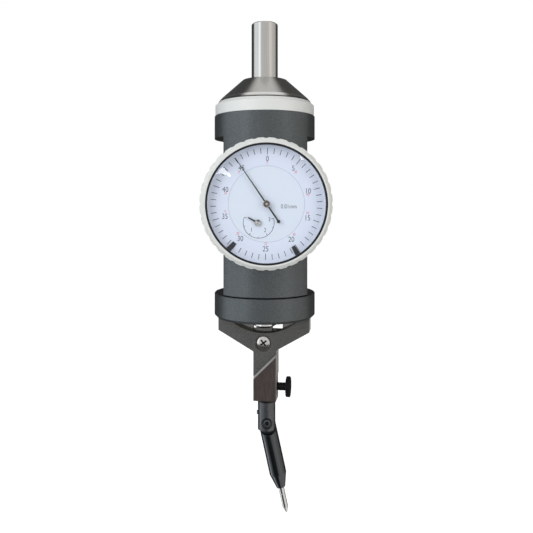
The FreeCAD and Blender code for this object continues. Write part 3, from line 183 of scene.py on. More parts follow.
class HardwareSettings(bpy.types.PropertyGroup):
    """Sizes of the screws and hubs."""
    head_crown: length("Head Crown", 0.42, "Rise of the pivot screw's rounded head")
    cross_width: length("Cross Width", 0.62, "Width of each wing of the pivot screw's cross recess")
    cross_reach: length("Cross Reach", 1.5, "Half the length of the cross recess")
    cross_depth: length("Cross Depth", 0.55, "Depth of the cross recess")
    cross_turn: angle("Cross Turn", 38, "How far the cross recess is turned")
    socket_turn: angle("Socket Turn", 12, "How far the hexagon socket is turned")
    socket_radius: length("Socket Radius", 0.8, "Corner radius of the knuckle screw's hexagon socket")
    socket_depth: length("Socket Depth", 0.6, "Depth of the hexagon socket")
    knurl_count: count_of("Knurl Ribs", 54, 12, "Ribs around the thumb screw's head")
    knurl_height: length("Knurl Height", 0.12, "How far the ribs stand out of the head")
    thumb_round: length("Thumb Edge", 0.22, "Rounding of the thumb screw's edges")
    hub_rim: length("Hub Rim", 0.24, "Width of the bright rim around a pointer's hub")
    hub_dish: length("Hub Dish", 0.16, "Depth of the dish inside the rim")
    hand_width: length("Hand Width", 0.6, "Width of the counter's hand near its hub")
    hand_hub: length("Hand Hub", 1.12, "Radius of the counter hand's hub")
    hand_turn: angle("Hand Turn", 298, "Where the counter's hand points, clockwise from the top")


class FinishSettings(bpy.types.PropertyGroup):
    """Colours of the finishes, and of the light and shade painted on some of them."""
    ground_steel: colour("Ground Steel", (0.66, 0.65, 0.625), "Shank, head and guide rods")
    chrome: colour("Chrome", (0.80, 0.80, 0.79), "Spindle end and feeler tip")
    bearing_steel: colour("Bearing Steel", (0.56, 0.57, 0.58), "Bearing rings, balls and wear ring")
    spring_steel: colour("Spring Steel", (0.42, 0.43, 0.45), "Springs, circlip and retaining wire")
    slate: colour("Slate Anodising", (0.117, 0.129, 0.134), "Housing and skirt")
    cream: colour("Cream Anodising", (0.675, 0.69, 0.675), "Cap ring, bezel and dial case")
    black_screws: colour("Black Screws", (0.007, 0.007, 0.008), "Black oxide screws")
    brass: colour("Brass", (0.70, 0.52, 0.25), "Movement plates and wheels")
    inner_dial: colour("Inner Dial", (0.74, 0.79, 0.86), "Fixed middle of the dial")
    scale_ring: colour("Scale Ring", (0.75, 0.79, 0.89), "Turning ring of the dial")
    black_paint: colour("Black Paint", (0.018, 0.018, 0.020), "Pointers and tolerance markers")
    bronze: colour("Bronze", (0.17, 0.115, 0.095), "Middle of the pointers' hubs")
    rubber: colour("Rubber", (0.012, 0.013, 0.018), "Ring around the crystal")
    blackened: colour("Blackened Steel", (0.150, 0.148, 0.143), "Yoke")
    # Painted highlight: the tint that lightens the side faces of the yoke and holder and the holder's slope.
    edge_painted_highlight: colour("Bare Edge", (0.42, 0.41, 0.39), "Faces of the yoke and holder that were ground last")
    # Painted light: a pale tint that lifts the wall at the back of the yoke's opening out of its shade.
    back_wall_painted_light: colour("Back Wall", (0.55, 0.55, 0.54), "Milled wall at the back of the yoke's opening")
    # Painted highlight: the near-white tint that the band at the rim of the head gets in place of light on it.
    band: colour("Head Band", (0.98, 0.97, 0.95), "Polished band at the rim of the head")
    holder: colour("Browned Steel", (0.098, 0.080, 0.076), "Feeler holder")
    nickel: colour("Nickel", (0.76, 0.74, 0.70), "Pivot screw and hub rims")
    sleeve: colour("Blued Sleeve", (0.125, 0.130, 0.137), "Feeler sleeve and its screw")
    blued: colour("Blued Rod", (0.100, 0.106, 0.112), "Feeler rod")
    glass: colour("Crystal", (0.975, 0.985, 1.0), "Tint of the crystal")


class StageSettings(bpy.types.PropertyGroup):
    """The camera, the lamps and the floor."""
    lens: number("Lens", 40.53, "Focal length on a 36 mm sensor", unit="CAMERA")
    distance: length("Distance", 228.63, "From the spindle's axis to the camera")
    eye_drop: length("Eye Drop", 45.65, "How far the camera stands below the shank's shoulder")
    camera_left: length("Camera Left", 5.5, "How far the camera stands to the left")
    camera_turn: angle("Camera Turn", -1.55, "How far the camera is turned to the right")
    frame_shift: number("Frame Shift", -0.1229, "Vertical shift of the picture")
    floor_drop: length("Floor Drop", 30, "From the feeler's point down to the floor")
    floor_colour: colour("Floor", (0.86, 0.86, 0.86), "Pale floor")
    key_power: number("Key Power", 2.7, "Power of the large lamp at the left", unit="POWER")
    fill_power: number("Fill Power", 1.25, "Power of the lamp at the right", unit="POWER")


# Meshes

def mesh_of(bm, name):
    """The finished mesh of a bmesh, which is used up."""
    mesh = bpy.data.meshes.new(name)
    bm.to_mesh(mesh)
    bm.free()
    return mesh


def linked(name, data):
    """A new object in the scene."""
    thing = bpy.data.objects.new(name, data)
    bpy.context.scene.collection.objects.link(thing)
    return thing


def evaluated(thing):
    """The mesh that an object shows, its modifiers applied. The object is used up."""
    depsgraph = bpy.context.evaluated_depsgraph_get()
    mesh = bpy.data.meshes.new_from_object(thing.evaluated_get(depsgraph), depsgraph=depsgraph)
    bpy.data.objects.remove(thing)
    return mesh


def turned_mesh(name, profile, steps=64):
    """A closed mesh turned about Z from its half outline, given as radius and height from the top down."""
    bm = bmesh.new()
    rings = []
    turns = [2 * math.pi * k / steps for k in range(steps)]
    for radius, height in profile:
        if radius == 0:
            rings.append([bm.verts.new((0, 0, height))])
            continue
        rings.append([bm.verts.new((radius * math.cos(t), radius * math.sin(t), height)) for t in turns])
    for upper, lower in zip(rings, rings[1:]):
        for k in range(steps):
            after = (k + 1) % steps
            corners = [upper[k % len(upper)], lower[k % len(lower)],
                       lower[after % len(lower)], upper[after % len(upper)]]
            bm.faces.new(list(dict.fromkeys(corners)))
    bmesh.ops.recalc_face_normals(bm, faces=bm.faces)
    return mesh_of(bm, name)


def prism_mesh(name, corners, low, high):
    """A closed prism on a flat outline."""
    bm = bmesh.new()
    floor = [bm.verts.new((x, y, low)) for x, y in corners]
    roof = [bm.verts.new((x, y, high)) for x, y in corners]
    bm.faces.new(floor[::-1])
    bm.faces.new(roof)
    for k in range(len(corners)):
        after = (k + 1) % len(corners)
        bm.faces.new((floor[k], floor[after], roof[after], roof[k]))
    bmesh.ops.recalc_face_normals(bm, faces=bm.faces)
    return mesh_of(bm, name)


def band_mesh(name, inner, outer, first, last, depth, steps=72):
    """A flat arc on the dial, from one clock angle to another, depth thick towards the front."""
    turns = [first + (last - first) * k / steps for k in range(steps + 1)]
    rim = [(outer * math.sin(t), outer * math.cos(t)) for t in turns]
    bore = [(inner * math.sin(t), inner * math.cos(t)) for t in reversed(turns)]
    return prism_mesh(name, rim + bore, 0, depth)


def rounded(edge, corner_radius, height, way, turn_in, steps=5):
    """Points of a quarter round between a cylinder's side and its end face."""
    spots = []
    for k in range(steps + 1):
        swing = math.pi / 2 * k / steps
        if turn_in:
            swing = math.pi / 2 - swing
        spots.append((edge - corner_radius * (1 - math.sin(swing)),
                      height - way * corner_radius * (1 - math.cos(swing))))
    return spots


def gathered(name, meshes):
    """One mesh of several, which are used up."""
    bm = bmesh.new()
    for mesh in meshes:
        bm.from_mesh(mesh)
        bpy.data.meshes.remove(mesh)
    return mesh_of(bm, name)


def notched(mesh, cutter):
    """The mesh with the cutter's shape taken out of it."""
    body, tool = linked("notch_body", mesh), linked("notch_tool", cutter)
    bite = body.modifiers.new("bite", "BOOLEAN")
    bite.operation = "DIFFERENCE"
    bite.solver = "EXACT"
    bite.object = tool
    result = evaluated(body)
    bpy.data.objects.remove(tool)
    return result


def lettering(text, size, place, ink, narrow=1.0, thin=0.004):
    """A word as a mesh on the XY plane, its middle at the place."""
    curve = bpy.data.curves.new("lettering", "FONT")
    curve.body = text
    curve.size = size
    curve.align_x = "CENTER"
    curve.align_y = "CENTER"
    curve.extrude = ink / 2
    curve.offset = -thin * size
    curve.resolution_u = 4
    mesh = evaluated(linked("lettering", curve))
    bpy.data.curves.remove(curve)
    mesh.transform(Matrix.Translation((place[0], place[1], ink / 2)) @ Matrix.Diagonal((narrow, 1, 1, 1)))
    return mesh


def placed(name, mesh, matrix, body, material, smooth=40, second=None, is_second=None):
    """A finished piece: its mesh goes to its place, and it rides on a body.

    Faces whose middle passes is_second, before the mesh goes to its place, get the second finish.
    """
    picked = [int(bool(second) and is_second(face.center)) for face in mesh.polygons]
    mesh.transform(matrix)
    mesh.name = name
    mesh.materials.clear()
    mesh.materials.append(material)
    if second:
        mesh.materials.append(second)
        mesh.polygons.foreach_set("material_index", picked)
    mesh.polygons.foreach_set("use_smooth", [True] * len(mesh.polygons))
    mesh.set_sharp_from_angle(angle=math.radians(smooth))
    mesh.update()
    piece = linked(name, mesh)
    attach(piece, body)
    return piece


def standing(place, front, up=Vector((0, 0, 1))):
    """The matrix that turns local Z to the way front and local Y up, at a place."""
    z_axis = Vector(front).normalized()
    x_axis = up.cross(z_axis).normalized()
    y_axis = z_axis.cross(x_axis)
    turn = Matrix((x_axis, y_axis, z_axis)).transposed().to_4x4()
    return Matrix.Translation(place) @ turn


# Geometry Nodes

def new_tree(name, counts, measures):
    """An empty geometry tree, whose inputs are counts, measures and a material, and its two end nodes."""
    tree = bpy.data.node_groups.new(name, "GeometryNodeTree")
    tree.interface.new_socket("Geometry", in_out="OUTPUT", socket_type="NodeSocketGeometry")
    for labels, kind in ((counts, "Int"), (measures, "Float"), (("Material",), "Material")):
        for label in labels:
            tree.interface.new_socket(label, in_out="INPUT", socket_type="NodeSocket" + kind)
    return tree, tree.nodes.new("NodeGroupInput"), tree.nodes.new("NodeGroupOutput")


def node(tree, kind, settings=None, **inputs):
    """A node with its settings, and each input set to a value or linked to a socket."""
    made = tree.nodes.new(kind)
    for key, value in (settings or {}).items():
        setattr(made, key, value)
    for key, value in inputs.items():
        spot = int(key[1:]) if key[0] == "_" and key[1:].isdigit() else key.replace("_", " ")
        if isinstance(value, bpy.types.NodeSocket):
            tree.links.new(value, made.inputs[spot])
        else:
            made.inputs[spot].default_value = value
    return made


def calculated(tree, operation, *values):
    inputs = {f"_{k}": value for k, value in enumerate(values)}
    return node(tree, "ShaderNodeMath", {"operation": operation}, **inputs).outputs[0]


def spread_round(tree, count, first, step, reach):
    """Points on a circle in the XZ plane, and the clock angle of each."""
    index = node(tree, "GeometryNodeInputIndex").outputs[0]
    turn = calculated(tree, "MULTIPLY_ADD", index, step, first)
    across = calculated(tree, "MULTIPLY", calculated(tree, "SINE", turn), reach)
    up = calculated(tree, "MULTIPLY", calculated(tree, "COSINE", turn), reach)
    spot = node(tree, "ShaderNodeCombineXYZ", X=across, Z=up).outputs[0]
    points = node(tree, "GeometryNodePoints", Count=count, Position=spot).outputs[0]
    facing = node(tree, "ShaderNodeCombineXYZ", Y=turn).outputs[0]
    rotation = node(tree, "FunctionNodeEulerToRotation", Euler=facing).outputs[0]
    return points, rotation


def closed_off(tree, geometry, material, output):
    """Ends a tree in Realize Instances and Set Material."""
    real = node(tree, "GeometryNodeRealizeInstances", Geometry=geometry).outputs[0]
    painted = node(tree, "GeometryNodeSetMaterial", Geometry=real, Material=material).outputs[0]
    tree.links.new(painted, output.inputs[0])


def tick_tree():
    """Ticks around a dial, every so many of them a long one."""
    measures = ("First Angle", "Step Angle", "Outer Radius", "Inner Radius", "Long Inner Radius", "Width",
                "Thickness")
    tree, given, output = new_tree("Tick Ring", ("Count", "Long Every"), measures)
    ask = given.outputs
    index = node(tree, "GeometryNodeInputIndex").outputs[0]
    left_over = calculated(tree, "MODULO", index, ask["Long Every"])
    is_long = calculated(tree, "LESS_THAN", left_over, 0.5)
    inner = node(tree, "ShaderNodeMix", {"data_type": "FLOAT"}, _0=is_long, _2=ask["Inner Radius"],
                 _3=ask["Long Inner Radius"]).outputs[0]
    reach = calculated(tree, "MULTIPLY", calculated(tree, "ADD", inner, ask["Outer Radius"]), 0.5)
    points, rotation = spread_round(tree, ask["Count"], ask["First Angle"], ask["Step Angle"], reach)
    tall = calculated(tree, "SUBTRACT", ask["Outer Radius"], inner)
    size = node(tree, "ShaderNodeCombineXYZ", X=ask["Width"], Y=ask["Thickness"], Z=tall).outputs[0]
    bar = node(tree, "GeometryNodeMeshCube", Size=(1, 1, 1)).outputs[0]
    bars = node(tree, "GeometryNodeInstanceOnPoints", Points=points, Instance=bar, Rotation=rotation,
                Scale=size).outputs[0]
    closed_off(tree, bars, ask["Material"], output)
    return tree


def knurl_tree():
    """Straight ribs around a screw head that lies along Y."""
    tree, given, output = new_tree("Straight Knurl", ("Count",), ("Head Radius", "Rib Height", "Rib Length"))
    ask = given.outputs
    step = calculated(tree, "DIVIDE", 2 * math.pi, ask["Count"])
    reach = calculated(tree, "SUBTRACT", ask["Head Radius"], ask["Rib Height"])
    points, rotation = spread_round(tree, ask["Count"], 0.0, step, reach)
    wide = calculated(tree, "MULTIPLY", ask["Rib Height"], RIB_WIDTH)
    rib = node(tree, "GeometryNodeMeshCylinder", Vertices=6, Radius=1.0, Depth=1.0).outputs[0]
    laid = node(tree, "GeometryNodeTransform", Geometry=rib, Rotation=(math.radians(90), 0, 0)).outputs[0]
    size = node(tree, "ShaderNodeCombineXYZ", X=wide, Y=ask["Rib Length"], Z=ask["Rib Height"]).outputs[0]
    ribs = node(tree, "GeometryNodeInstanceOnPoints", Points=points, Instance=laid, Rotation=rotation,
                Scale=size).outputs[0]
    closed_off(tree, ribs, ask["Material"], output)
    return tree


def grown(tree, **values):
    """The plain mesh that a tree makes with these inputs."""
    host = linked("grown", bpy.data.meshes.new("grown"))
    grow = host.modifiers.new("Grow", "NODES")
    grow.node_group = tree
    for item in tree.interface.items_tree:
        if item.in_out == "INPUT":
            grow[item.identifier] = values[item.name.replace(" ", "_").lower()]
    mesh = evaluated(host)
    if not mesh.polygons:
        raise RuntimeError(f"{tree.name} made no mesh")
    return mesh


# Finishes

def shader_tree(name):
    material = bpy.data.materials.new(name)
    material.use_nodes = True
    tree = material.node_tree
    tree.nodes.clear()
    return material, tree


def surfaced(tree, shader, kind="ShaderNodeOutputMaterial"):
    """Ends a shader tree."""
    tree.links.new(shader.outputs[0], node(tree, kind).inputs["Surface"])


def pattern(tree, stretch, scale, detail=3.0, roughness=0.55):
    """Noise on the piece's own coordinates, stretched along an axis."""
    place = node(tree, "ShaderNodeTexCoord").outputs["Object"]
    mapped = node(tree, "ShaderNodeMapping", Vector=place, Scale=stretch).outputs[0]
    return node(tree, "ShaderNodeTexNoise", Vector=mapped, Scale=scale, Detail=detail,
                Roughness=roughness).outputs["Fac"]


def between(tree, amount, low, high, from_low=0.3, from_high=0.7):
    """A number that goes from low to high with the pattern."""
    return node(tree, "ShaderNodeMapRange", _0=amount, _1=from_low, _2=from_high, _3=low, _4=high).outputs[0]


def shades(tree, amount, tint, change, lean=(1.0, 1.0, 1.0)):
    """A colour that goes from darker to lighter with the pattern."""
    dark = [max(0.0, part * (1 - change)) for part in tint]
    light = [min(1.0, part * (1 + change) * push) for part, push in zip(tint, lean)]
    ramp = node(tree, "ShaderNodeValToRGB", Fac=amount)
    ramp.color_ramp.elements[0].position = 0.3
    ramp.color_ramp.elements[0].color = (*dark, 1)
    ramp.color_ramp.elements[1].position = 0.7
    ramp.color_ramp.elements[1].color = (*light, 1)
    return ramp.outputs[0]


def blended(tree, amount, first, second):
    return node(tree, "ShaderNodeMix", {"data_type": "RGBA"}, _0=amount, _6=first, _7=second).outputs[2]


def facing(way, nearly=0.97):
    """One where the piece's own surface faces a way, and nothing elsewhere."""
    def mask(tree):
        normal = node(tree, "ShaderNodeTexCoord").outputs["Normal"]
        aligned = node(tree, "ShaderNodeVectorMath", {"operation": "DOT_PRODUCT"}, _0=normal,
                       _1=Vector(way).normalized()).outputs["Value"]
        return between(tree, aligned, 0.0, 1.0, nearly, 0.5 + nearly / 2)
    return mask


def within(way, low, high):
    """One where the piece lies between two distances along a way."""
    def mask(tree):
        place = node(tree, "ShaderNodeTexCoord").outputs["Object"]
        along = node(tree, "ShaderNodeVectorMath", {"operation": "DOT_PRODUCT"}, _0=place,
                     _1=Vector(way).normalized()).outputs["Value"]
        rising = between(tree, along, 0.0, 1.0, low - 0.03 * MM, low + 0.03 * MM)
        falling = between(tree, along, 1.0, 0.0, high - 0.03 * MM, high + 0.03 * MM)
        return calculated(tree, "MULTIPLY", rising, falling)
    return mask


def where_both(first, second):
    return lambda tree: calculated(tree, "MULTIPLY", first(tree), second(tree))


def metal(name, tint, roughness, stretch=(1, 1, 1), scale=3000.0, change=0.06, rough_change=0.06, bump=0.12,
          metallic=1.0, blotch=0.0, lean=(1.0, 1.0, 1.0), soft_edge=0.0, patches=()):
    """Metal with fine marks along one way, broader cloudiness, softened edges, and patches of another tint that
    paint light or shade into its colour.
    """
    material, tree = shader_tree(name)
    fine = pattern(tree, stretch, scale)
    cloudy = pattern(tree, (1, 1, 1), 140.0, 2.0)
    mixed = calculated(tree, "ADD", calculated(tree, "MULTIPLY", fine, 1 - blotch),
                       calculated(tree, "MULTIPLY", cloudy, blotch))
    tone = shades(tree, mixed, tint, change, lean)
    for mask, patch_tint, patch_metallic in patches:
        amount = mask(tree)
        tone = blended(tree, amount, tone, shades(tree, mixed, patch_tint, change / 2))
        metallic = node(tree, "ShaderNodeMix", {"data_type": "FLOAT"}, _0=amount, _2=metallic,
                        _3=patch_metallic).outputs[0]
    shine = between(tree, fine, roughness - rough_change, roughness + rough_change)
    relief = node(tree, "ShaderNodeBump", Strength=bump, Distance=BUMP_DEPTH, Height=fine)
    if soft_edge:
        edge = node(tree, "ShaderNodeBevel", {"samples": 4}, Radius=soft_edge)
        tree.links.new(edge.outputs[0], relief.inputs["Normal"])
    surface = node(tree, "ShaderNodeBsdfPrincipled", Base_Color=tone, Metallic=metallic, Roughness=shine,
                   Normal=relief.outputs[0])
    surfaced(tree, surface)
    return material


def paint(name, tint, roughness, change=0.03, grain=2500.0, bump=0.05, specular=0.2):
    """Paint, print or rubber with a faint grain."""
    material, tree = shader_tree(name)
    fine = pattern(tree, (1, 1, 1), grain)
    tone = shades(tree, fine, tint, change)
    shine = between(tree, fine, roughness - 0.05, roughness + 0.05)
    relief = node(tree, "ShaderNodeBump", Strength=bump, Distance=BUMP_DEPTH, Height=fine)
    surface = node(tree, "ShaderNodeBsdfPrincipled", Base_Color=tone, Metallic=0.0, Roughness=shine,
                   Specular_IOR_Level=specular, Normal=relief.outputs[0])
    surfaced(tree, surface)
    return material


def crystal_glass(name, tint):
    """Flat glass that lets light through and mirrors a little."""
    material, tree = shader_tree(name)
    smear = pattern(tree, (1, 1, 1), 90.0, 2.0)
    clear = node(tree, "ShaderNodeBsdfTransparent", Color=(*tint, 1))
    mirror = node(tree, "ShaderNodeBsdfGlossy", Roughness=between(tree, smear, 0.0, 0.006))
    outside = calculated(tree, "SUBTRACT", 1.0, node(tree, "ShaderNodeNewGeometry").outputs["Backfacing"])
    share = calculated(tree, "MULTIPLY", node(tree, "ShaderNodeFresnel", IOR=1.5).outputs[0], outside)
    both = node(tree, "ShaderNodeMixShader", _0=share, _1=clear.outputs[0], _2=mirror.outputs[0])
    surfaced(tree, both)
    return material


def make_finishes(finish, dial):
    """Every material of the indicator by name."""
    along = {"stretch": (1.0, 1.0, 0.012)}
    turned_marks = {"stretch": (0.05, 0.05, 1.0)}
    edge = 0.2 * MM
    small_edge = 0.1 * MM
    yaw = Vector(JOINTS["yoke_swing"]["axis"])
    beside = Vector((-yaw.y, yaw.x, 0))
    slope = yaw * math.sqrt(2) - beside + Vector((0, 0, 1))
    up, down = Vector((0, 0, 1)), Vector((0, 0, -1))
    # Painted shade: faces of the housing and skirt that look up or down are darkened.
    shaded = [part * 0.22 for part in finish.slate]
    ledge_painted_shade = ((facing(up), shaded, 1.0), (facing(down), shaded, 1.0))
    # Painted highlight on the band at the rim of the head.
    head_band_painted_highlight = ((within(up, *HEAD_BAND_HIGHLIGHT), finish.band, 1.0),)
    # Painted shade: the spindle's tongue inside the yoke's opening takes the yoke's dark tint.
    tongue_painted_shade = ((within(up, *TONGUE_SHADE), finish.blackened, 0.8),)
    # Painted highlight on the yoke's side faces, and painted light on the wall at the back of its opening.
    yoke_painted_light = (
        (facing(beside), finish.edge_painted_highlight, 0.1),
        (where_both(facing(yaw), within(yaw, *BACK_WALL_PAINTED_LIGHT)), finish.back_wall_painted_light, 0.0),
    )
    # Painted highlight on the holder's side faces and on its slope.
    holder_painted_highlights = ((facing(beside), finish.edge_painted_highlight, 0.1), (facing(slope), finish.edge_painted_highlight, 1.0))
    # Painted shade at the sleeve's neck, where it goes into the holder.
    sleeve_neck_painted_shade = ((within(up, *SLEEVE_NECK_SHADE), finish.black_screws, 0.5),)
    inks = (("ink", dial.ink_colour), ("pale_ink", dial.pale_ink_colour), ("red_ink", dial.red_colour))
    made = (
        metal("fine_ground_steel", finish.ground_steel, 0.2, scale=2600, rough_change=0.04, bump=0.10,
              **along),
        metal("head_steel", finish.ground_steel, 0.16, scale=2600, change=0.07, rough_change=0.04, bump=0.08,
              patches=head_band_painted_highlight, **along),
        metal("chrome", finish.chrome, 0.09, scale=4000, change=0.03, rough_change=0.03, bump=0.04,
              **turned_marks),
        metal("spindle_chrome", finish.chrome, 0.12, scale=4000, change=0.03, rough_change=0.03, bump=0.04,
              patches=tongue_painted_shade, **turned_marks),
        metal("polished_bearing_steel", finish.bearing_steel, 0.2, scale=4000, change=0.04, rough_change=0.04,
              bump=0.05, **turned_marks),
        metal("drawn_spring_steel", finish.spring_steel, 0.32, scale=5000, rough_change=0.05, bump=0.08),
        metal("slate", finish.slate, 0.37, change=0.30, bump=0.22, metallic=0.8, blotch=0.12, soft_edge=edge,
              patches=ledge_painted_shade),
        metal("cream", finish.cream, 0.42, scale=3600, change=0.03, rough_change=0.05, bump=0.07,
              metallic=0.1, blotch=0.3),
        paint("black_screws", finish.black_screws, 0.36, change=0.3, grain=4000, bump=0.12, specular=0.12),
        # Painted shade for the screws' recesses and the rim of the knuckle screw's head.
        paint("dark_recess", finish.black_screws, 0.5, change=0.3, grain=4000, bump=0.12),
        metal("brass", finish.brass, 0.3, stretch=(1, 0.03, 1), scale=2600, change=0.08, bump=0.10),
        paint("inner_dial", finish.inner_dial, 0.5, change=0.012, grain=3000, bump=0.04),
        paint("scale_ring", finish.scale_ring, 0.5, change=0.015, grain=3000, bump=0.04),
        paint("dial_joint", dial.joint_shade_colour, 0.6, change=0.05, grain=3000, bump=0.04),
        paint("pointer_paint", finish.black_paint, 0.4, change=0.1, grain=4000, bump=0.06, specular=0.5),
        metal("bronze", finish.bronze, 0.38, scale=5000, change=0.15, bump=0.10, metallic=0.6),
        paint("rubber", finish.rubber, 0.55, change=0.12, grain=5000, bump=0.1, specular=0.3),
        metal("blackened", finish.blackened, 0.46, scale=2500, change=0.34, rough_change=0.08, bump=0.30,
              metallic=0.8, blotch=0.15, soft_edge=edge, patches=yoke_painted_light),
        metal("holder", finish.holder, 0.46, stretch=(1.0, 1.0, 0.10), scale=2500, change=0.30,
              rough_change=0.08, bump=0.25, metallic=0.8, blotch=0.25, lean=(1.04, 1.0, 0.98), soft_edge=edge,
              patches=holder_painted_highlights),
        metal("nickel", finish.nickel, 0.17, change=0.05, rough_change=0.05, bump=0.06),
        metal("screw_nickel", finish.nickel, 0.14, scale=2500, change=0.08, rough_change=0.05, blotch=0.2,
              soft_edge=small_edge),
        metal("sleeve", finish.sleeve, 0.30, scale=3200, change=0.2, bump=0.15, blotch=0.2,
              lean=(1.0, 1.0, 1.03), soft_edge=edge, patches=sleeve_neck_painted_shade),
        metal("socket_screw", finish.sleeve, 0.3, scale=3600, change=0.2, bump=0.15, metallic=0.9, blotch=0.2,
              soft_edge=small_edge),
        metal("blued", finish.blued, 0.16, change=0.12, rough_change=0.04, blotch=0.2, bump=0.06,
              soft_edge=edge, **along),
        crystal_glass("crystal_glass", finish.glass),
        *(paint(name, tint, 0.6, change=0.08, grain=6000, bump=0.03) for name, tint in inks),
    )
    # Blender adds a number to a name that is taken, as when this step runs a second time
    return {material.name.split(".")[0]: material for material in made}


SLOT_FINISH = {
    "ground_steel": "fine_ground_steel", "chromed_steel": "chrome", "bearing_steel": "polished_bearing_steel",
    "spring_steel": "drawn_spring_steel", "slate_anodised": "slate", "cream_anodised": "cream",
    "black_screw": "black_screws", "movement_brass": "brass", "dial_white": "inner_dial",
    "black_paint": "pointer_paint", "hub_bronze": "bronze", "crystal": "crystal_glass",
    "black_rubber": "rubber", "blackened_steel": "blackened", "nickel_screw": "nickel", "blued_steel": "blued",
}
NODE_FINISH = {"scale_ring": "scale_ring", "feeler_holder": "holder", "feeler_sleeve": "sleeve",
               "sleeve_pin": "sleeve", "shank_and_head": "head_steel", "spindle": "spindle_chrome"}


def finish_named(name):
    """A finish that the first operator made. None has the name of a CAD material."""
    material = bpy.data.materials.get(name)
    if material is None:
        raise RuntimeError(f"the finish {name} isn't made yet")
    return material


def printed(name, mesh, matrix, body, ink):
    """A piece of thin print on the dial."""
    placed(name, mesh, matrix, body, finish_named(ink))


class INDICATOR_OT_finishes(bpy.types.Operator):
    """Make the finishes and give each piece of the model its own"""
    bl_idname = "indicator.finishes"
    bl_label = "Finishes"

    def execute(self, context):
        made = make_finishes(context.scene.indicator_finish, context.scene.indicator_dial)
        slots = {part["node"]: part["material_slot"] for part in frame["record"]["subparts"]}
        for name, thing in frame["nodes"].items():
            wanted = NODE_FINISH.get(name, SLOT_FINISH[slots[name]])
            thing.data.materials.clear()
            thing.data.materials.append(made[wanted])
        return {"FINISHED"}


class INDICATOR_OT_scale_print(bpy.types.Operator):
    """Print the ticks and numbers of the turning scale ring"""
    bl_idname = "indicator.scale_print"
    bl_label = "Scale Print"

    def execute(self, context):
        dial = context.scene.indicator_dial
        centre = middle_of("scale_ring")
        centre.y = front_of("scale_ring")
        on_ring = Matrix.Translation(centre) @ Matrix.Rotation(dial.ring_turn, 4, "Y")
        step = 2 * math.pi / dial.divisions
        ticks = grown(tick_tree(), count=dial.divisions, long_every=dial.numbered_every, first_angle=0.0,
                      step_angle=step, outer_radius=dial.tick_outer, inner_radius=dial.tick_inner,
                      long_inner_radius=dial.long_tick_inner, width=dial.tick_width,
                      thickness=2 * dial.ink, material=finish_named("ink"))
        printed("scale_ticks", ticks, on_ring, "bezel", "ink")

        black, red = [], []
        count = dial.divisions // dial.numbered_every
        for k in range(count):
            turn = k * dial.numbered_every * step
            number = str(k * dial.numbered_every)
            place = self.number_place(dial, number, turn)
            black.append(lettering(number, dial.number_size, place, dial.ink, dial.number_narrow))
            backwards = str((count - k) % count * dial.numbered_every)
            red.append(lettering(backwards, dial.red_size, self.red_place(dial, turn, place), dial.ink,
                                 dial.number_narrow))
        lying = on_ring @ TO_FRONT
        printed("scale_numbers", gathered("scale_numbers", black), lying, "bezel", "pale_ink")
        printed("scale_red_numbers", gathered("scale_red_numbers", red), lying, "bezel", "red_ink")
        return {"FINISHED"}

    @staticmethod
    def number_place(dial, number, turn):
        """Upright numbers stand with their outer corners on one circle."""
        tall = FIGURE_HEIGHT * dial.number_size
        wide = FIGURE_WIDTH * dial.number_size * dial.number_narrow * len(number)
        across, up = math.sin(turn), math.cos(turn)
        reach = dial.number_edge - (abs(up) * tall + abs(across) * wide) / 2
        return reach * across, reach * up

    @staticmethod
    def red_place(dial, turn, place):
        """A red number stands under its black one in the upper half, and over it in the lower half."""
        across, up = math.sin(turn), math.cos(turn)
        slanting = abs(up) > 0.7 and abs(across) > 0.1
        aside = math.copysign(dial.red_aside, across) if slanting else 0.0
        rise = -dial.red_below if up > 0 else dial.red_above
        return place[0] + aside, place[1] + rise


class INDICATOR_OT_dial_print(bpy.types.Operator):
    """Print the revolution counter's scale and the graduation value on the inner dial"""
    bl_idname = "indicator.dial_print"
    bl_label = "Inner Dial Print"

    def execute(self, context):
        dial = context.scene.indicator_dial
        centre = middle_of("scale_ring")
        centre.y = front_of("inner_dial")
        edge = radius_of("inner_dial")
        # A grey ring in the gap between the scale ring and the dial stands in for the gap's shade.
        joint = band_mesh("dial_joint", edge, edge + dial.joint_width, 0, 2 * math.pi, JOINT_LINE_DEPTH, 120)
        under = Matrix.Translation(centre + Vector((0, JOINT_LINE_SUNK, 0))) @ TO_FRONT
        placed("dial_joint", joint, under, "housing", finish_named("dial_joint"))
        counter = middle_of("counter_arbor")
        counter.y = centre.y
        counter.x += dial.counter_shift
        first, last = COUNTER_ARC
        radius = dial.counter_radius
        arc = band_mesh("counter_arc", radius - dial.counter_line / 2, radius + dial.counter_line / 2,
                        first, last, dial.ink)
        on_counter = Matrix.Translation(counter) @ TO_FRONT
        printed("counter_circle", arc, on_counter, "housing", "ink")
        ticks = grown(tick_tree(), count=7, long_every=2, first_angle=first, step_angle=(last - first) / 6,
                      outer_radius=radius, inner_radius=radius - dial.counter_tick * 0.6,
                      long_inner_radius=radius - dial.counter_tick, width=dial.counter_line,
                      thickness=2 * dial.ink, material=finish_named("ink"))
        printed("counter_ticks", ticks, Matrix.Translation(counter), "housing", "ink")
        words = [lettering(text, dial.counter_size, place, dial.ink, dial.number_narrow)
                 for text, place in COUNTER_NUMBERS]
        printed("counter_numbers", gathered("counter_numbers", words), on_counter, "housing", "pale_ink")
        value = lettering("0.01mm", dial.value_size, VALUE_PLACE, dial.ink, dial.number_narrow)
        printed("graduation_value", value, Matrix.Translation(centre) @ TO_FRONT, "housing", "pale_ink")
        return {"FINISHED"}


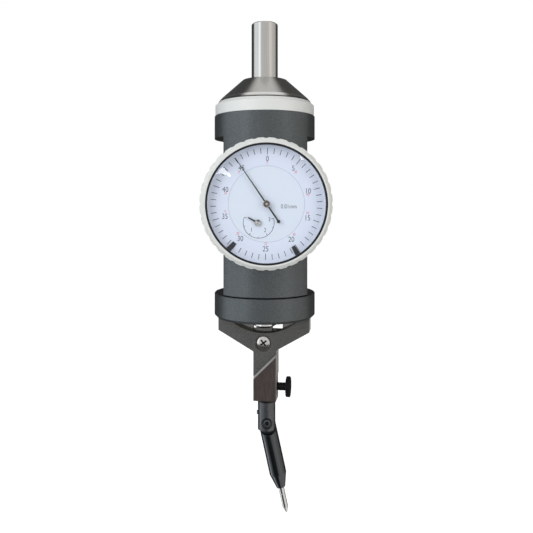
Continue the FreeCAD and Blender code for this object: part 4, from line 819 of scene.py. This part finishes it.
def hub_meshes(radius, rim, dish, height):
    """A hub's bright rim and its darker dished middle, standing on the XY plane."""
    chamfer = 0.08 * MM
    bright = turned_mesh("hub_rim", [
        (radius - rim, 0), (radius, 0), (radius, height - chamfer), (radius - chamfer, height),
        (radius - rim + chamfer, height), (radius - rim, height - chamfer), (radius - rim, 0),
    ], 48)
    bm = bmesh.new()
    bm.from_mesh(bright)
    bmesh.ops.remove_doubles(bm, verts=bm.verts, dist=0.001 * MM)
    bmesh.ops.recalc_face_normals(bm, faces=bm.faces)
    bm.to_mesh(bright)
    bm.free()
    inside = radius - rim - 0.002 * MM
    middle = turned_mesh("hub_middle", [
        (0, height - dish), (inside * 0.35, height - dish), (inside * 0.5, height - dish * 1.35),
        (inside * 0.65, height - dish), (inside, height - dish * 0.7), (inside, 0), (0, 0),
    ], 48)
    return bright, middle


class INDICATOR_OT_hubs(bpy.types.Operator):
    """Make the two pointers' hubs and the counter's hand"""
    bl_idname = "indicator.hubs"
    bl_label = "Hubs and Counter Hand"

    def execute(self, context):
        hardware = context.scene.indicator_hardware
        low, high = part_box("pointer_hub")
        place = middle_of("pointer_hub")
        place.y = high[1]
        bright, middle = hub_meshes(radius_of("pointer_hub"), hardware.hub_rim, hardware.hub_dish,
                                    high[1] - low[1])
        here = Matrix.Translation(place) @ TO_FRONT
        rim = placed("pointer_hub_rim", bright, here, "pointer", finish_named("nickel"))
        placed("pointer_hub_middle", middle, here, "pointer", finish_named("bronze"))
        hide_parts("pointer_hub")

        arbor = middle_of("counter_arbor")
        low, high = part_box("counter_hand")
        place = Vector((arbor.x, high[1], arbor.z))
        height = high[1] - low[1]
        bright, middle = hub_meshes(hardware.hand_hub, hardware.hub_rim, hardware.hub_dish, height)
        here = Matrix.Translation(place) @ TO_FRONT
        rim = placed("counter_hub_rim", bright, here, "counter", finish_named("nickel"))
        placed("counter_hub_middle", middle, here, "counter", finish_named("nickel"))
        wide, narrow = hardware.hand_width / 2, hardware.hand_width / 3
        blade = prism_mesh("counter_blade", [
            (-wide, 1.0 * MM), (wide, 1.0 * MM), (narrow, 3.7 * MM), (0, 3.95 * MM), (-narrow, 3.7 * MM),
        ], height * 0.4, height * 0.75)
        here = here @ Matrix.Rotation(-hardware.hand_turn, 4, "Z")
        hand = placed("counter_blade", blade, here, "counter", finish_named("pointer_paint"))
        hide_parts("counter_hand")
        return {"FINISHED"}


def head_profile(radius, top, height, bulge, shank_radius, shank_low):
    """The half outline of a screw with a slightly crowned head, from the top down."""
    spots = [(0, top)]
    for k in range(1, 6):
        spots.append((radius * 0.17 * k, top - bulge * (0.17 * k) ** 2))
    spots += [(radius * 0.96, top - bulge * 1.1), (radius, top - bulge * RIM_DROP), (radius, top - height),
              (shank_radius, top - height), (shank_radius, shank_low), (0, shank_low)]
    return spots


class INDICATOR_OT_pivot_screw(bpy.types.Operator):
    """Make the yoke's pivot screw with its cross recess"""
    bl_idname = "indicator.pivot_screw"
    bl_label = "Pivot Screw"

    def execute(self, context):
        hardware = context.scene.indicator_hardware
        joint = JOINTS["yoke_swing"]
        head_radius, head_height, head_front, shank_radius, shank_back = (
            2.5 * MM, 0.8 * MM, 3.3 * MM, 1.25 * MM, -3.5 * MM)
        outline = head_profile(head_radius, head_front, head_height, hardware.head_crown / RIM_DROP,
                               shank_radius, shank_back)
        mesh = turned_mesh("pivot_screw_head", outline, 72)
        wide, far = hardware.cross_width / 2, hardware.cross_reach
        cross = [(wide, wide), (wide, far), (-wide, far), (-wide, wide), (-far, wide), (-far, -wide),
                 (-wide, -wide), (-wide, -far), (wide, -far), (wide, -wide), (far, -wide), (far, wide)]
        cutter = prism_mesh("cross_recess", cross, head_front - hardware.cross_depth, head_front + 1 * MM)
        cutter.transform(Matrix.Rotation(hardware.cross_turn, 4, "Z"))
        mesh = notched(mesh, cutter)
        # Faces in the cross recess get the painted shade.
        screw = placed("pivot_cross_screw", mesh, standing(Vector(joint["pos_m"]), joint["axis"]), "yoke",
                       finish_named("screw_nickel"), 30, finish_named("dark_recess"),
                       lambda spot: spot.z < head_front - 0.2 * MM and spot.xy.length < far)
        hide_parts("pivot_screw")
        return {"FINISHED"}


class INDICATOR_OT_knuckle_screw(bpy.types.Operator):
    """Make the knuckle's screw with its hexagon socket"""
    bl_idname = "indicator.knuckle_screw"
    bl_label = "Knuckle Screw"

    def execute(self, context):
        hardware = context.scene.indicator_hardware
        joint = JOINTS["feeler_tilt"]
        head_radius, head_height, head_front, shank_radius, shank_back = (
            1.6 * MM, 0.8 * MM, 3.0 * MM, 1.0 * MM, -2.6 * MM)
        bulge, reach = 0.06 * MM, hardware.socket_radius
        outline = head_profile(head_radius, head_front, head_height, bulge, shank_radius, shank_back)
        mesh = turned_mesh("knuckle_screw_head", outline, 60)
        corners = [math.radians(60 * k) + hardware.socket_turn for k in range(6)]
        hexagon = [(reach * math.cos(t), reach * math.sin(t)) for t in corners]
        floor = head_front - hardware.socket_depth
        cutter = prism_mesh("hexagon_socket", hexagon, floor, head_front + 1 * MM)
        mesh = notched(mesh, cutter)
        here = standing(Vector(joint["pos_m"]), joint["axis"])
        screw = placed("knuckle_socket_screw", mesh, here, "feeler",
                       finish_named("socket_screw"), 30, finish_named("dark_recess"),
                       lambda spot: self.in_shadow(spot, reach, head_radius, head_front))
        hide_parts("knuckle_screw")
        return {"FINISHED"}

    @staticmethod
    def in_shadow(spot, socket_radius, head_radius, head_front):
        """Painted shade: the socket and the ring around the head get the dark finish."""
        sunk = spot.z < head_front - 0.15 * MM and spot.xy.length < socket_radius
        return sunk or spot.xy.length > head_radius * 0.86


class INDICATOR_OT_thumb_screw(bpy.types.Operator):
    """Make the thumb screw with its knurled head"""
    bl_idname = "indicator.thumb_screw"
    bl_label = "Thumb Screw"

    def execute(self, context):
        hardware = context.scene.indicator_hardware
        joint = JOINTS["thumb_turn"]
        tip, shoulder, end = 3.4 * MM, 8.4 * MM, 10.0 * MM
        neck, head, bend = 1.45 * MM, 3.8 * MM, hardware.thumb_round
        core = head - hardware.knurl_height
        dish = 0.25 * MM
        profile = [(0, end - dish), (head * 0.55, end - dish), (head * 0.62, end)]
        profile += rounded(core, bend, end, 1, False)
        profile += rounded(core, bend, shoulder, -1, True)
        profile += [(neck + 0.35 * MM, shoulder), (neck, shoulder - 0.3 * MM), (neck, tip + 0.4 * MM),
                    (neck * 0.7, tip), (0, tip)]
        body = turned_mesh("thumb_body", profile, 72)
        ribs = grown(knurl_tree(), count=hardware.knurl_count, head_radius=head,
                     rib_height=hardware.knurl_height, rib_length=end - shoulder - 1.6 * bend,
                     material=finish_named("black_screws"))
        ribs.transform(Matrix.Translation((0, 0, (shoulder + end) / 2)) @ TO_FRONT.inverted())
        mesh = gathered("thumb_screw", [body, ribs])
        here = standing(Vector(joint["pos_m"]), joint["axis"])
        screw = placed("thumb_knurled_screw", mesh, here, "thumb_screw",
                       finish_named("black_screws"), 35)
        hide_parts("thumb_screw")
        return {"FINISHED"}


# Stage

def lamp(name, place, wide, tall, power, tint):
    """A soft rectangular lamp that looks at the middle of the indicator."""
    data = bpy.data.lights.new(name, "AREA")
    data.shape = "RECTANGLE"
    data.size, data.size_y = wide, tall
    data.energy = power
    data.color = tint
    thing = linked(name, data)
    thing.location = place
    thing.rotation_euler = (Vector(AIM) - Vector(place)).to_track_quat("-Z", "Y").to_euler()
    thing.visible_glossy = False


STUDIO = (
    # Degrees round from the camera's side, to the right, and how bright the studio is there
    (-180, 0.04), (-112, 0.02), (-105, 0.44), (-84, 0.49), (-60, 0.50), (-53, 0.56), (-47, 0.72), (-41, 0.70),
    (-34, 0.35), (-10, 0.32), (16, 0.31), (34, 0.33), (46, 0.45), (58, 0.42), (68, 0.32), (106, 0.26),
    (114, 0.03), (180, 0.04),
)
LOW_STUDIO = (
    # The same under the level of the lens, where the table's dark front edge stands
    (-180, 0.03), (-118, 0.03), (-108, 0.80), (-92, 0.85), (-80, 0.30), (-56, 0.20), (-48, 0.03), (8, 0.03),
    (20, 0.36), (60, 0.40), (112, 0.38), (122, 0.03), (180, 0.03),
)


def studio_ramp(tree, share, stops_wanted):
    """The studio's brightness around the object, cooler at the left and warmer at the right."""
    ramp = node(tree, "ShaderNodeValToRGB", Fac=share)
    stops = ramp.color_ramp.elements
    while len(stops) < len(stops_wanted):
        stops.new(0.5)
    for stop, (degrees, level) in zip(stops, stops_wanted):
        warm = WARMTH * math.sin(math.radians(degrees))
        stop.position = (degrees + 180) / 360
        stop.color = (level * (1 + warm), level, level * (1 - warm), 1)
    return ramp.outputs[0]


def softly(tree, value, low, high):
    """Nothing under the low value, one over the high one, smooth between them."""
    return node(tree, "ShaderNodeMapRange", {"interpolation_type": "SMOOTHSTEP"}, _0=value, _1=low, _2=high,
                _3=0.0, _4=1.0).outputs[0]


def seen_directly(tree):
    """One for the rays that the camera sees at once or through something."""
    rays = node(tree, "ShaderNodeLightPath").outputs
    return calculated(tree, "MAXIMUM", rays["Is Camera Ray"], rays["Is Transmission Ray"])


def make_world(context):
    """White behind the object, and a pale studio with a dark screen at each side around it."""
    world = bpy.data.worlds.new("studio")
    context.scene.world = world
    world.use_nodes = True
    tree = world.node_tree
    tree.nodes.clear()
    way = node(tree, "ShaderNodeTexCoord").outputs["Generated"]
    parts = node(tree, "ShaderNodeSeparateXYZ", Vector=way).outputs
    behind = calculated(tree, "MULTIPLY", parts["Y"], -1.0)
    around = calculated(tree, "ARCTAN2", parts["X"], behind)
    share = node(tree, "ShaderNodeMapRange", _0=around, _1=-math.pi, _2=math.pi, _3=0.0, _4=1.0).outputs[0]
    level = blended(tree, softly(tree, parts["Z"], *TABLE_ENDS), studio_ramp(tree, share, LOW_STUDIO),
                    studio_ramp(tree, share, STUDIO))
    whole = blended(tree, softly(tree, parts["Z"], *CEILING_STARTS), level, CEILING)
    room = node(tree, "ShaderNodeBackground", Color=whole, Strength=ROOM_STRENGTH)
    white = node(tree, "ShaderNodeBackground", Color=(1, 1, 1, 1), Strength=1.0)
    both = node(tree, "ShaderNodeMixShader", _0=seen_directly(tree), _1=room.outputs[0], _2=white.outputs[0])
    surfaced(tree, both, "ShaderNodeOutputWorld")


def make_floor(stage):
    """A pale floor that looks white to the camera and keeps the object's shadow."""
    material, tree = shader_tree("pale_floor")
    fine = pattern(tree, (1, 1, 1), 40.0)
    tone = shades(tree, fine, stage.floor_colour, 0.01)
    matt = node(tree, "ShaderNodeBsdfDiffuse", Color=tone)
    glow = node(tree, "ShaderNodeEmission", Color=(1, 1, 1, 1))
    tree.links.new(calculated(tree, "MULTIPLY", seen_directly(tree), FLOOR_GLOW), glow.inputs["Strength"])
    both = node(tree, "ShaderNodeAddShader", _0=matt.outputs[0], _1=glow.outputs[0])
    surfaced(tree, both)

    height = CAD_BOX[0][2] - stage.floor_drop
    bm = bmesh.new()
    bmesh.ops.create_circle(bm, cap_ends=True, segments=96, radius=2.5)
    mesh = mesh_of(bm, "floor")
    mesh.transform(Matrix.Translation((0, 0, height)))
    mesh.materials.append(material)
    floor = linked("floor", mesh)
    floor.visible_glossy = False


GLARE = (
    # Corners on the crystal, in millimetres from the dial's middle
    ((-16.8, 10.0), (-15.3, 12.0), (-14.2, 12.2), (-13.9, 11.2), (-12.8, 10.6), (-11.6, 9.4), (-12.5, 9.0),
     (-13.9, 10.0)),
    ((11.2, 15.6), (11.9, 15.9), (12.4, 14.9), (11.7, 14.6)),
)


def make_glare_card(eye):
    """Two small bright cards behind the camera, placed so that the crystal mirrors them."""
    material, tree = shader_tree("glare_card")
    glow = node(tree, "ShaderNodeEmission", Color=(1, 1, 1, 1), Strength=CARD_STRENGTH)
    surfaced(tree, glow)
    glass = front_of("crystal")
    centre = middle_of("scale_ring")
    mirrored = Vector((eye.x, 2 * glass - eye.y, eye.z))
    card_y = eye.y - CARD_BEHIND_CAMERA
    bm = bmesh.new()
    for corners in GLARE:
        ring = []
        for x, z in corners:
            spot = Vector((centre.x + x * MM, glass, centre.z + z * MM))
            stretch = (card_y - mirrored.y) / (spot.y - mirrored.y)
            ring.append(bm.verts.new(mirrored + (spot - mirrored) * stretch))
        bm.faces.new(ring)
    mesh = mesh_of(bm, "glare_card")
    mesh.materials.append(material)
    card = linked("glare_card", mesh)
    card.visible_camera = card.visible_diffuse = card.visible_transmission = card.visible_shadow = False


class INDICATOR_OT_stage(bpy.types.Operator):
    """Make the floor, the studio, the lamps and the camera"""
    bl_idname = "indicator.stage"
    bl_label = "Stage"

    def execute(self, context):
        stage = context.scene.indicator_stage
        eye = Vector((-stage.camera_left, -stage.distance, -stage.eye_drop))
        data = bpy.data.cameras.new("camera")
        data.lens = stage.lens
        data.sensor_width = 36
        data.shift_y = stage.frame_shift
        data.clip_start, data.clip_end = 0.01, 20
        camera = linked("camera", data)
        camera.location = eye
        camera.rotation_euler = (math.radians(90), 0, stage.camera_turn)
        context.scene.camera = camera
        lamp("key", *KEY_LAMP, stage.key_power, (1.0, 1.0, 1.0))
        lamp("fill", *FILL_LAMP, stage.fill_power, (1.0, 0.98, 0.95))
        make_floor(stage)
        make_world(context)
        make_glare_card(eye)
        context.scene.view_settings.view_transform = "Standard"
        return {"FINISHED"}


STEPS = (INDICATOR_OT_finishes, INDICATOR_OT_scale_print, INDICATOR_OT_dial_print, INDICATOR_OT_hubs,
         INDICATOR_OT_pivot_screw, INDICATOR_OT_knuckle_screw, INDICATOR_OT_thumb_screw, INDICATOR_OT_stage)
GROUPS = (("indicator_dial", DialPrintSettings), ("indicator_hardware", HardwareSettings),
          ("indicator_finish", FinishSettings), ("indicator_stage", StageSettings))


class INDICATOR_PT_panel(bpy.types.Panel):
    """Lists the sizes, colours and steps"""
    bl_idname = "INDICATOR_PT_panel"
    bl_label = "Centering Indicator"
    bl_space_type = "VIEW_3D"
    bl_region_type = "UI"
    bl_category = "Indicator"

    def draw(self, context):
        for step in STEPS:
            self.layout.operator(step.bl_idname)
        for name, group in GROUPS:
            box = self.layout.box()
            for key in group.__annotations__:
                box.prop(getattr(context.scene, name), key)


def register():
    for name, group in GROUPS:
        bpy.utils.register_class(group)
        setattr(bpy.types.Scene, name, PointerProperty(type=group))
    for thing in (*STEPS, INDICATOR_PT_panel):
        bpy.utils.register_class(thing)


def unregister():
    for thing in (INDICATOR_PT_panel, *reversed(STEPS)):
        bpy.utils.unregister_class(thing)
    for name, group in reversed(GROUPS):
        delattr(bpy.types.Scene, name)
        bpy.utils.unregister_class(group)


def main():
    register()
    for step in STEPS:
        area, name = step.bl_idname.split(".")
        getattr(getattr(bpy.ops, area), name)()


if __name__ == "__main__":
    main()
